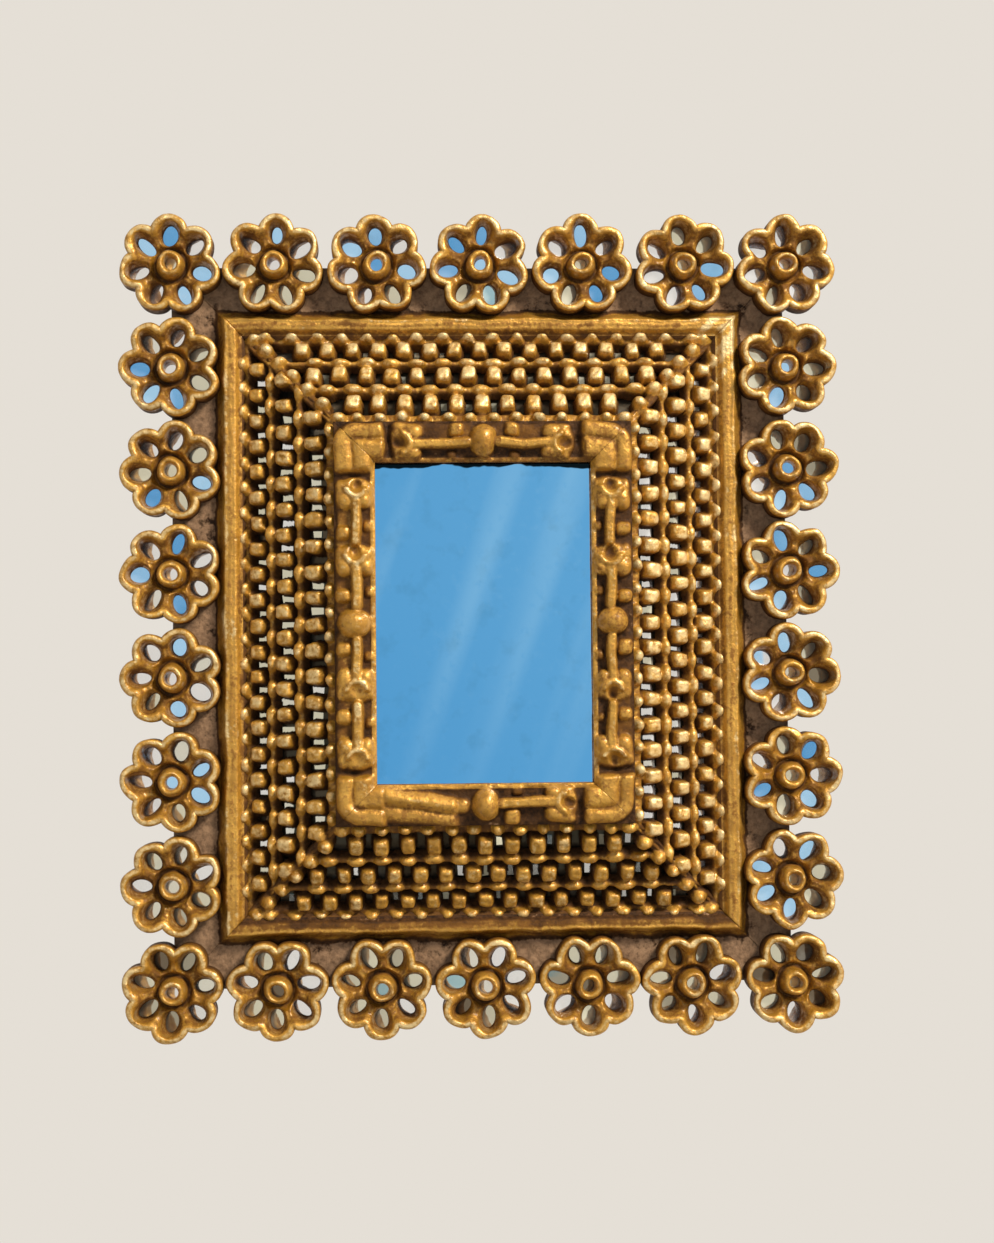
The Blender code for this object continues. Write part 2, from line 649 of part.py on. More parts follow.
def ring_mesh():
    """The wire ring, hanging from its straight bar: bar, two legs and a half round."""
    half = EYE_WIDTH / 2 + WIRE_RADIUS
    bottom = -EYE_LENGTH - 2 * WIRE_RADIUS
    corner = 1.2 * MM
    points = [(-half + corner, 0), (half - corner, 0), (half, -corner)]
    centre_y = bottom + half
    for step in range(1, 12):
        angle = -math.pi * step / 12
        points.append((half * math.cos(angle), min(-corner - MM, centre_y + half * math.sin(angle))))
    points.append((-half, -corner))
    curve = bpy.data.curves.new("hanger_ring", "CURVE")
    curve.dimensions = "3D"
    curve.bevel_depth = WIRE_RADIUS
    curve.bevel_resolution = 1
    spline = curve.splines.new("POLY")
    spline.points.add(len(points) - 1)
    for point, (x, y) in zip(spline.points, points):
        point.co = (x, y, 0, 1)
    spline.use_cyclic_u = True
    obj = bpy.data.objects.new("hanger_ring_path", curve)
    CUTTERS.objects.link(obj)
    return evaluated_mesh(obj)


add_borders(make_rosette())
add_rosette_mirrors()
add_lattices()
add_sight_mouldings()
add_glass()
add_back_panel()
add_hanger()
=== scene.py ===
import json
import math

import bmesh
import bpy
import numpy as np
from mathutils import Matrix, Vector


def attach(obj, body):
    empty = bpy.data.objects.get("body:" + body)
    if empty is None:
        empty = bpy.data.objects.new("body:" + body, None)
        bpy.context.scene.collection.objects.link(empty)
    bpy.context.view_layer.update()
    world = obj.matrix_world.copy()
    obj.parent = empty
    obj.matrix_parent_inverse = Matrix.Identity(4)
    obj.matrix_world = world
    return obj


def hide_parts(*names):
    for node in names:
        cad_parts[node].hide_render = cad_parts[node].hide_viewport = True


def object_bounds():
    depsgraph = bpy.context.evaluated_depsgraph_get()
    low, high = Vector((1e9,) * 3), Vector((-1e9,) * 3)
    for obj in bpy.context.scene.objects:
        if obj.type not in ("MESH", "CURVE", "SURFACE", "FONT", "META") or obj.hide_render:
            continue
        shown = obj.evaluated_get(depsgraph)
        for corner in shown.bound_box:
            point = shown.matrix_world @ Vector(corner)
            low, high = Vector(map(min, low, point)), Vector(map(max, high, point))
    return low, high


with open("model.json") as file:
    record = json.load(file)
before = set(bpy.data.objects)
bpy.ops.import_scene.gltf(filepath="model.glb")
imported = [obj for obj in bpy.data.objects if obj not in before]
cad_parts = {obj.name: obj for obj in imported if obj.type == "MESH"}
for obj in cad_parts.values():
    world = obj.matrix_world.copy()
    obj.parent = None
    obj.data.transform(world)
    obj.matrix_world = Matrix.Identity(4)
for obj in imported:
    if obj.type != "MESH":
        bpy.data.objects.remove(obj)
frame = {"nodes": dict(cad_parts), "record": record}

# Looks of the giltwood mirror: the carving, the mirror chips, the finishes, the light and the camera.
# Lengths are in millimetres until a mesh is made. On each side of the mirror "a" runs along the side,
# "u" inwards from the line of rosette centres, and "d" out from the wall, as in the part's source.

CAD_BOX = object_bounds()
MM = 0.001
PI = math.pi
# Points nearer to each other than this become one
WELD = 0.002
# First seeds of the random draws
ROSETTE_SEED = 1000
LATTICE_SEED = 300
SIGHT_SEED = 500
CHIP_SEED = 8000

# The mirror's layout, as in the part's source
HALF_WIDTH = 150.0
HALF_HEIGHT = 175.0
PITCH = 50.0
BODY = "mirror"
# Turn about the view axis, distance of the rosette line from the middle, half the line's length
SIDES = {
    "top": (0.0, HALF_HEIGHT, HALF_WIDTH),
    "right": (-PI / 2, HALF_WIDTH, HALF_HEIGHT),
    "bottom": (PI, HALF_HEIGHT, HALF_WIDTH),
    "left": (PI / 2, HALF_WIDTH, HALF_HEIGHT),
}
MITRE_GAP = 0.04

# Rosettes: heights are above the back of the rosette
PETALS = 7
HALF_SECTOR = PI / PETALS
ROSETTE_BACK = 15.0
ROSETTE_SCALE = 0.995
PETAL_CENTRE = 15.4
PETAL_ROUND = 9.3
VALLEY = PETAL_CENTRE * math.cos(HALF_SECTOR)
VALLEY += math.sqrt(PETAL_ROUND**2 - (PETAL_CENTRE * math.sin(HALF_SECTOR)) ** 2)
VALLEY_P = VALLEY * math.cos(HALF_SECTOR)
VALLEY_Q = VALLEY * math.sin(HALF_SECTOR)
PETAL_BEND = math.atan2(VALLEY_Q, VALLEY_P - PETAL_CENTRE)
WINDOW_P = 15.2
WINDOW_LENGTH = 9.7
WINDOW_WIDTH = 6.2
WINDOW_RISE = 3.0
CUP_LENGTH = 14.2
CUP_WIDTH = 11.0
CUP_CURVE = 1.7
RIM_TOP = 12.0
RIM_WIDTH = 2.3
BOWL_RISE = 7.6
BOWL_REACH = 5.0
EDGE_ROUND = 1.7
EDGE_DROP = 2.2
GROOVE_RADIUS = 8.2
GROOVE_RISE = 3.6
GROOVE_REACH = 2.2
HUB_PROFILE = (
    (GROOVE_RADIUS, GROOVE_RISE), (7.3, 4.1), (6.8, 6.2), (6.5, 8.8), (6.0, 11.2), (5.3, 12.6),
    (4.6, 13.0), (3.9, 12.5), (3.4, 11.4), (3.1, 10.0), (2.9, 8.0), (2.8, 4.0), (2.8, 0.0),
    (GROOVE_RADIUS, 0.0),
)
LINE_STEPS, ARC_STEPS, INNER_STEPS = 10, 16, 6
# Rings of a petal's grid, as shares of the way from its window to its outline
PETAL_RINGS = (
    0.0, 0.06, 0.14, 0.23, 0.32, 0.41, 0.5, 0.59, 0.67, 0.74, 0.81, 0.87, 0.92, 0.96, 0.985, 1.0,
)

# Border rails: places in the section are (u, d), from the ledge over the band to the lattice's seat
LEDGE = 15.5
LEDGE_ROWS = (0.6, 3, 6, 9, 12, 15, 18, 20.4)
BOARD_BACK = 4.3
BAND_FOOT = {"top": 23.4, "right": 22.2, "bottom": 23.8, "left": 22.4}
BAND_CORNER_FOOT = 23.0
BAND_CROWN = 22.4
BAND_STEPS = 18
# Painted shade on the band of each side, deepest at the bottom
BAND_SIDE_SHADE = {"top": 0.2, "right": 0.12, "bottom": 0.34, "left": 0.06}
# Painted shade: how much darker the band is towards the lattice
BAND_FADE = {"top": 0.25, "right": 0.25, "bottom": 0.75, "left": 0.25}
# Ends of the band at the corner that has a painted highlight
HIGHLIGHT_END = {"top": 1, "right": -1, "bottom": 0, "left": 0}
SEAT_TOP = (34.33, 19.37)
SEAT_LOW = (38.04, 11.95)
SHELF_END = (41.44, 13.65)
# Shades of the dusty ledge and of the foot of the band, where painted shade darkens the band as it
# meets the ledge
DUSTY = 2.0
FOOT_SHADE = 0.5
# Steps along a rail for each millimetre of half its length, and what keeps the four rails unlike
BORDER_FINENESS = 1.6
RAIL_SHIFT = 500.0

# Reliefs: how softly forms and hollows meet what is there, how far below the floor a form lies beyond
# its edge, and the height of a hollow's rim
RELIEF_BLEND = 0.6
PIT_BLEND = 0.5
CLEAR_BELOW = 9
PIT_RIM = 46.0

# Lattice panels: s runs up the slope, n out from the face of the panel in the part's source
# Painted light and shade on each side's panel: lighter on the top and right, darker on the bottom and
# left
LATTICE_SIDE_SHADE = {"top": -0.10, "right": -0.11, "bottom": 0.17, "left": 0.03}
LATTICE_FOOT = (34.6, 19.5)
LATTICE_LENGTH = 49.19
SLOPE = math.atan2(22.0, 44.0)
LATTICE_OVERHANG = 3.0
LATTICE_PITCH = 12.4
LATTICE_DEPTH = 8.0
LATTICE_FLOOR = -9.0
LATTICE_STEPS = 92
LATTICE_FINENESS = 2.3
HOLE_CUT = -7.3
# Rows of the carving from the outer edge: beads, posts, rail, posts, rail, posts, beads
LAST_ROW = 6
POST_ROWS = (1, 3, 5)
RAIL_ROWS = (2, 4)
EDGE_SHARE = 0.054
ROW_CROWDING = 0.157
# How far the lumps stay from the mitres, and the place of the beads along the mitres
MITRE_ROOM = {"top": 11.0, "right": 2.5, "bottom": 11.0, "left": 2.5}
MITRE_BEAD = 5.8

# Tints of the mirror chips: clear, leaning from the first limit, yellowed from the second, dark from 1;
# the dark tint is painted shade in the lattice's holes, painted dark reflections among the rosette
# chips, and the colour of the chips' backs
LEANING = 0.34
YELLOWED = 0.55
DARK_TINT = 1.2
CHIP_THICKNESS = 0.5
# Each side's range of tints for its rosette chips paints what they reflect: most dark chips are on the
# bottom
ROSETTE_TINTS = {"top": (0.0, 0.9), "right": (0.0, 1.0), "bottom": (0.42, 1.15), "left": (0.1, 0.85)}
CHIP_CORNERS = 16
CHIP_LAP = 1.4
PETAL_CHIP_RISE = 2.3
HUB_CHIP_RADIUS = 3.4
HUB_CHIP_RISE = 7.0
LEAN_AWAY = 0.25
# Share of the holes with a clear chip, its half sides, how it leans inwards, and its tints
LATTICE_CLEAR = {
    "top": (0.3, 1.6, 2.2, 0.1, 0.6, 0.95), "right": (1.0, 2.5, 3.0, 0.0, 0.1, 0.8),
    "bottom": (0.35, 1.5, 2.2, 0.22, 0.0, 0.95), "left": (0.85, 1.8, 2.5, 0.2, 0.5, 0.8),
}
DARK_CHIP_RISE = -9.8
CLEAR_RISE = -8.9

# Sight mouldings: w runs from the outer edge to the opening
# Painted shade on the carving of each side
SIGHT_SIDE_SHADE = {"top": 0.36, "right": 0.32, "bottom": 0.28, "left": 0.14}
# Painted shade on the plain lip round the opening: how dark it is on each side
LIP_SHADE = {"top": 0.55, "right": 0.0, "bottom": 0.25, "left": 0.0}
SIGHT_U = 78.87
SIGHT_WIDTH = 19.6
SIGHT_LIP_BACK = 37.13
SIGHT_FLOOR = 40.0
SIGHT_STEPS = 50
SIGHT_FINENESS = 4.4
RABBET = 6.0
SIGHT_BACK = 27.03
SIGHT_SEAT_U = 86.17
LEAF_REACH = 26.5
LEAF_BEND = 12.0
# Rolls of the corner leaf: place across it, half width, top
LEAF_ROLLS = ((9.4, 9.2, 44.2), (4.4, 4.4, 45.9), (13.0, 5.6, 46.2))
BALL_RADIUS = 7.4
BALL_TOP = 50.2
SCROLL_LENGTH = 33.0
SCROLL_CUP = 42.6
WORN_CUP = 44.4

# Colours of the gilding, from the painted highlight on the crests down to the bole, and of the dust on
# the ledge; dark gold and bole also carry the painted shade of the recesses
PAINTED_HIGHLIGHT_GOLD = (0.75, 0.53, 0.235, 1)
LEAF = ((0.37, 0.165, 0.012, 1), (0.64, 0.33, 0.048, 1))
LEAF_SPECKS = (0.19, 0.080, 0.012, 1)
DARK_GOLD = ((0.090, 0.034, 0.005, 1), (0.23, 0.096, 0.016, 1))
BOLE = ((0.022, 0.009, 0.003, 1), (0.088, 0.036, 0.010, 1))
DUST = ((0.18, 0.104, 0.056, 1), (0.36, 0.215, 0.118, 1))

# Colours of the mirrors, of the bare wood and of the steel
SILVER = ((0.94, 0.95, 0.96, 1), (0.86, 0.84, 0.66, 1))
# Dark glass: the chips' backs, painted shade in the lattice's holes and painted dark reflections in the
# rosettes
DARK_BACK_AND_SHADE = (0.21, 0.165, 0.11, 1)
TARNISH = (0.62, 0.64, 0.60, 1)
BLACK_EDGE = (0.02, 0.018, 0.015, 1)
BLACK_EDGE_WIDTH = 2.2
WOOD = ((0.17, 0.095, 0.045, 1), (0.36, 0.225, 0.115, 1))
WOOD_FLECKS = (0.10, 0.055, 0.03, 1)
STEEL = ((0.50, 0.49, 0.46, 1), (0.27, 0.22, 0.17, 1))

# Surroundings, in metres
PALE = (0.783, 0.738, 0.672, 1)
FLOOR = ((0.77, 0.725, 0.66, 1), (0.795, 0.75, 0.684, 1))
FLOOR_Z = -0.62
FLOOR_REACH = 1.1
FLOOR_CORNERS = 64
SKY = ((0.055, 0.290, 0.60, 1), (0.145, 0.425, 0.71, 1))
STREAK = (0.46, 0.76, 0.92, 1)
HAZE = (0.40, 0.66, 0.86, 1)
DIM = ((0.03, 0.03, 0.022, 1), (0.10, 0.085, 0.06, 1))
AMBIENT = (0.86, 0.93, 1.0, 1)
# Cards that only the mirrors see: middle, two half sides, colours, the two distances from the middle
# between which the colour turns into that of the rim, the rim's colour, strength of the streaks
CARDS = {
    "sky_card": ((0.1, -2.2, 0.1), (0.85, 0, 0), (0, 0, 0.85), SKY, (0.34, 0.62), HAZE, 0.55),
    "left_card": ((-2.4, -1.1, -0.25), (0, 1.5, 0), (0, 0, 0.75), DIM, (0.6, 1.4), PALE, 0.0),
    "low_card": ((0.0, -0.4, -0.61), (0.6, 0, 0), (0, 0.55, 0), DIM, (0.34, 0.55), PALE, 0.0),
    "high_card": ((-0.1, -1.9, 2.7), (0.9, 0, 0), (0, 0.7, 0.5), DIM, (0.6, 1.1), PALE, 0.0),
}


def smooth(x, low, high):
    t = np.clip((x - low) / (high - low), 0, 1)
    return t * t * (3 - 2 * t)


def lerp(a, b, t):
    return a + (b - a) * t


def smooth_max(a, b, blend):
    t = np.clip(0.5 + 0.5 * (a - b) / blend, 0, 1)
    return lerp(b, a, t) + blend * t * (1 - t)


def turned(x, y, angle):
    """A place in the plane, turned about the origin."""
    cos, sin = math.cos(angle), math.sin(angle)
    return x * cos - y * sin, x * sin + y * cos


def wobble(x, y, length, seed):
    """A smooth random field of about -1 to 1, with waves of about the given length."""
    rng = np.random.default_rng(seed)
    total = 0.0
    for _ in range(6):
        bearing, phase = rng.uniform(0, 2 * PI, 2)
        wave = 2 * PI / (length * rng.uniform(0.6, 1.7))
        total = total + np.sin((x * math.cos(bearing) + y * math.sin(bearing)) * wave + phase)
    return total / 3


def blurred(field, reach):
    """Box blur over 2 * reach + 1 cells each way."""
    for axis in (0, 1):
        pads = [(reach + 1, reach) if k == axis else (0, 0) for k in (0, 1)]
        total = np.cumsum(np.pad(field, pads, mode="edge"), axis=axis)
        size = field.shape[axis]
        high = np.take(total, range(2 * reach + 1, size + 2 * reach + 1), axis)
        low = np.take(total, range(size), axis)
        field = (high - low) / (2 * reach + 1)
    return field


def to_world(side, a, u, d):
    """Metres in the row frame from millimetres along, inwards and out on one side."""
    turn, span, _ = SIDES[side]
    a, b, d = np.broadcast_arrays(a, span - u, d)
    x, z = turned(a, b, turn)
    return np.stack([x, -d, z], axis=-1) * MM


class Shape:
    """Collects the grids of one piece, with a shade for each point, and makes a mesh of them."""

    def __init__(self):
        self.points, self.shades, self.faces, self.count = [], [], [], 0

    def add_points(self, points, shade):
        index = self.count + np.arange(points[..., 0].size).reshape(points.shape[:-1])
        self.points.append(points.reshape(-1, 3))
        self.shades.append(np.broadcast_to(shade, points.shape[:-1]).reshape(-1))
        self.count += index.size
        return index

    def add_quads(self, a, b, c, d):
        self.faces += np.stack([a, b, c, d], axis=-1).reshape(-1, 4).tolist()

    def grid(self, points, shade, closed=False, keep=None):
        """Adds a grid of points, whose rows may close on themselves; keep says which quads stay."""
        index = self.add_points(points, shade)
        ring = np.hstack([index, index[:, :1]]) if closed else index
        quads = np.stack([ring[:-1, :-1], ring[1:, :-1], ring[1:, 1:], ring[:-1, 1:]], axis=-1)
        self.faces += quads[keep].tolist() if keep is not None else quads.reshape(-1, 4).tolist()
        return index

    def build(self, name, material, replaced, soft=True):
        mesh = bpy.data.meshes.new(name)
        mesh.from_pydata(np.concatenate(self.points).tolist(), [], self.faces)
        shade = mesh.attributes.new("shade", "FLOAT", "POINT")
        shade.data.foreach_set("value", np.concatenate(self.shades).astype(np.float32))
        bm = bmesh.new()
        bm.from_mesh(mesh)
        bmesh.ops.remove_doubles(bm, verts=bm.verts, dist=WELD * MM)
        bmesh.ops.delete(bm, geom=[v for v in bm.verts if not v.link_faces], context="VERTS")
        bmesh.ops.recalc_face_normals(bm, faces=bm.faces)
        for face in bm.faces:
            face.smooth = soft and len(face.verts) <= 4
        bm.to_mesh(mesh)
        bm.free()
        mesh.materials.append(material)
        piece = bpy.data.objects.new(name, mesh)
        bpy.context.scene.collection.objects.link(piece)
        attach(piece, BODY)
        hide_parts(*replaced)


# Materials


def new_material(name):
    material = bpy.data.materials.new(name)
    material.use_nodes = True
    tree = material.node_tree
    return material, tree, tree.nodes["Principled BSDF"]


def set_inputs(tree, node, inputs):
    """Sets inputs of a node; a value that is a socket is linked."""
    for key, value in inputs.items():
        if isinstance(value, bpy.types.NodeSocket):
            tree.links.new(value, node.inputs[key])
        else:
            node.inputs[key].default_value = value


def add_node(tree, kind, inputs=None, **settings):
    node = tree.nodes.new(kind)
    for key, value in settings.items():
        setattr(node, key, value)
    set_inputs(tree, node, inputs or {})
    return node


def noise(tree, coords, scale, detail=3.0, roughness=0.55):
    inputs = {"Vector": coords, "Scale": scale, "Detail": detail, "Roughness": roughness}
    return add_node(tree, "ShaderNodeTexNoise", inputs).outputs["Fac"]


def remap(tree, value, low, high, to_low=0.0, to_high=1.0):
    inputs = {"Value": value, "From Min": low, "From Max": high, "To Min": to_low, "To Max": to_high}
    return add_node(tree, "ShaderNodeMapRange", inputs).outputs["Result"]


def blend(tree, factor, a, b):
    """A colour between a and b, which are colours or sockets."""
    inputs = {0: factor, 6: a, 7: b}
    return add_node(tree, "ShaderNodeMix", inputs, data_type="RGBA").outputs[2]


def math_node(tree, operation, a, b):
    return add_node(tree, "ShaderNodeMath", {0: a, 1: b}, operation=operation).outputs[0]


def object_coords(tree, stretch=None):
    coords = add_node(tree, "ShaderNodeTexCoord").outputs["Object"]
    if stretch is None:
        return coords
    return add_node(tree, "ShaderNodeMapping", {"Vector": coords, "Scale": stretch}).outputs["Vector"]


def shade_of_points(tree):
    return add_node(tree, "ShaderNodeAttribute", attribute_name="shade").outputs["Fac"]


def height_in(tree, coords):
    return add_node(tree, "ShaderNodeSeparateXYZ", {"Vector": coords}).outputs["Z"]


def add_bump(tree, shader, height, strength, distance):
    inputs = {"Height": height, "Strength": strength, "Distance": distance}
    bump = add_node(tree, "ShaderNodeBump", inputs)
    tree.links.new(bump.outputs["Normal"], shader.inputs["Normal"])


def make_gilt():
    """Gold leaf over bole. The shade attribute says how deep in the carving a point lies: below 0 on
    crests, which get a painted highlight, up to 1 in the recesses, which get painted shade, and 2 on
    the dusty ledge."""
    material, tree, shader = new_material("gilt_wood")
    coords = object_coords(tree)
    patches = noise(tree, coords, 85.0, 5.0, 0.62)
    grain = noise(tree, coords, 420.0, 5.0, 0.65)
    fine = remap(tree, grain, 0.35, 0.65)
    leaf = blend(tree, remap(tree, patches, 0.35, 0.68), *LEAF)
    leaf = blend(tree, remap(tree, grain, 0.5, 0.72, 0.0, 0.65), leaf, LEAF_SPECKS)
    # Shade and wear: the attribute's painted shade and highlight, with random patches and specks of
    # wear
    uneven = remap(tree, patches, 0.3, 0.72, -0.24, 0.24)
    shade_and_wear = math_node(tree, "ADD", shade_of_points(tree), uneven)
    shade_and_wear = math_node(tree, "ADD", shade_and_wear, remap(tree, grain, 0.3, 0.7, -0.28, 0.28))
    darker_share = remap(tree, shade_and_wear, 0.28, 0.60)
    # Painted highlight: pale gold where the shade falls below 0
    colour = blend(tree, remap(tree, shade_and_wear, -0.05, -0.45), leaf, PAINTED_HIGHLIGHT_GOLD)
    # Painted shade in the recesses, through dark gold down to the bole; the noise adds patches of wear
    colour = blend(tree, darker_share, colour, blend(tree, fine, *DARK_GOLD))
    colour = blend(tree, remap(tree, shade_and_wear, 0.64, 0.92), colour, blend(tree, fine, *BOLE))
    colour = blend(tree, remap(tree, shade_and_wear, 1.45, 1.75), colour, blend(tree, fine, *DUST))
    shine = remap(tree, grain, 0.3, 0.75, 0.30, 0.52)
    looks = {
        "Base Color": colour,
        "Metallic": remap(tree, darker_share, 0.0, 1.0, 0.45, 0.0),
        "Roughness": math_node(tree, "ADD", shine, math_node(tree, "MULTIPLY", darker_share, 0.22)),
        "Specular IOR Level": remap(tree, darker_share, 0.0, 1.0, 0.35, 0.12),
        "Coat Weight": remap(tree, darker_share, 0.0, 1.0, 0.45, 0.0),
        "Coat Roughness": 0.22,
    }
    set_inputs(tree, shader, looks)
    dents = math_node(tree, "MULTIPLY", noise(tree, coords, 260.0, 2.0), 0.45)
    add_bump(tree, shader, math_node(tree, "ADD", grain, dents), 0.7, 0.0008)
    return material


def make_mirror(name, silvered, yellowed, dark_edge=None):
    """Old silvered glass: slight tarnish and dust, and a tint that the shade attribute varies.
    The two shares say how much of a mirror the clear and the yellowed chips still are. Above the
    height of the dark edge, in metres, the glass is black."""
    material, tree, shader = new_material(name)
    coords = object_coords(tree)
    shade = shade_of_points(tree)
    warm = remap(tree, shade, YELLOWED, YELLOWED + 0.08)
    silver = blend(tree, warm, *SILVER)
    # Dark tints: painted shade and dark reflections on the chips, and their backs
    silver = blend(tree, remap(tree, shade, 0.84, 1.0), silver, DARK_BACK_AND_SHADE)
    cloud = remap(tree, noise(tree, coords, 90.0, 3.0), 0.55, 0.8, 0.0, 0.35)
    silver = blend(tree, cloud, silver, TARNISH)
    if dark_edge is not None:
        ragged = remap(tree, noise(tree, coords, 45.0), 0.3, 0.7, -0.0022, 0.0022)
        height = math_node(tree, "ADD", height_in(tree, coords), ragged)
        above = remap(tree, height, dark_edge, dark_edge + 0.0005)
        silver = blend(tree, above, silver, BLACK_EDGE)
    share = silvered
    if yellowed != silvered:
        share = remap(tree, warm, 0.0, 1.0, silvered, yellowed)
    dust = remap(tree, noise(tree, coords, 260.0, 4.0), 0.5, 0.85, 0.02, 0.12)
    set_inputs(tree, shader, {"Base Color": silver, "Metallic": share, "Roughness": dust})
    return material


def make_wood():
    material, tree, shader = new_material("bare_wood")
    coords = object_coords(tree, (60.0, 60.0, 4.0))
    grain = noise(tree, coords, 4.0, 6.0, 0.6)
    flecks = remap(tree, noise(tree, object_coords(tree), 700.0, 3.0), 0.6, 0.8, 0.0, 0.4)
    wood = blend(tree, remap(tree, grain, 0.3, 0.7), *WOOD)
    wood = blend(tree, flecks, wood, WOOD_FLECKS)
    rough = remap(tree, grain, 0.3, 0.7, 0.62, 0.82)
    set_inputs(tree, shader, {"Base Color": wood, "Roughness": rough})
    add_bump(tree, shader, grain, 0.3, 0.0004)
    return material


def make_steel():
    material, tree, shader = new_material("plain_steel")
    spots = noise(tree, object_coords(tree), 500.0, 4.0)
    steel = blend(tree, remap(tree, spots, 0.5, 0.75), *STEEL)
    rough = remap(tree, spots, 0.35, 0.75, 0.28, 0.6)
    set_inputs(tree, shader, {"Base Color": steel, "Roughness": rough, "Metallic": 1.0})
    add_bump(tree, shader, spots, 0.15, 0.0002)
    return material


# Rosettes and rails


def ellipse_radius(bearing, length, width):
    return 1 / np.hypot(2 * np.cos(bearing) / length, 2 * np.sin(bearing) / width)


def petal_window(rng):
    """Middle, length and width of a petal's window, which the carver cut by eye."""
    vary = rng.uniform(-1, 1, 4)
    return (
        WINDOW_P + 0.4 * vary[0], 0.35 * vary[1],
        WINDOW_LENGTH * (1 + 0.13 * vary[2]), WINDOW_WIDTH * (1 + 0.17 * vary[3]),
    )


def outline_distance(p, q):
    """How far inside the rosette's outline a point of the first petal's sector lies."""
    distance = np.full(np.shape(p), np.inf)
    for petal in (-1, 0, 1):
        axis = 2 * HALF_SECTOR * petal
        x = p * math.cos(axis) + q * math.sin(axis) - PETAL_CENTRE
        y = q * math.cos(axis) - p * math.sin(axis)
        to_arc = PETAL_ROUND - np.hypot(x, y)
        to_valley = np.hypot(x + PETAL_CENTRE - VALLEY_P, np.abs(y) - VALLEY_Q)
        on_arc = np.abs(np.arctan2(y, x)) <= PETAL_BEND
        distance = np.minimum(distance, np.where(on_arc, to_arc, to_valley))
    return np.maximum(distance, 0)


def rosette_relief(p, q, window):
    """Height and shade of a petal at p along it and q across it, from the rosette's centre."""
    r = np.hypot(p, q)
    middle_p, middle_q, length, width = window
    bearing = np.arctan2(q - middle_q, p - middle_p)
    hole = ellipse_radius(bearing, length, width)
    cup = ellipse_radius(bearing, CUP_LENGTH, CUP_WIDTH)
    t = np.clip((np.hypot(p - middle_p, q - middle_q) - hole) / (cup - hole), 0, 1)
    inside = outline_distance(p, q)
    bowl = lerp(RIM_TOP, BOWL_RISE, smooth(inside, RIM_WIDTH, RIM_WIDTH + BOWL_REACH))
    height = lerp(WINDOW_RISE, bowl, 1 - (1 - t) ** CUP_CURVE)
    fall = np.clip(1 - inside / EDGE_ROUND, 0, 1)
    height = height - EDGE_DROP * (1 - np.sqrt(np.maximum(1 - fall**2, 0)))
    near_hub = 1 - smooth(r, GROOVE_RADIUS, GROOVE_RADIUS + GROOVE_REACH)
    height = lerp(height, GROOVE_RISE, near_hub)
    # Painted shade round the windows, in the groove by the hub, in the bowls and on the outer drop, and
    # a painted highlight on the rim
    deep = 0.5 * smooth(inside, RIM_WIDTH, RIM_WIDTH + 2.0)
    crest_highlight = smooth(inside, 0.3, 1.2) * smooth(-inside, -RIM_WIDTH - 1.2, -RIM_WIDTH + 0.4) * t
    shade = np.maximum(0.8 * (1 - t) ** 2, 0.72 * near_hub)
    shade = np.maximum(shade, 0.6 * smooth(fall, 0.8, 1.0))
    return height, np.maximum(shade, deep) - 0.25 * crest_highlight


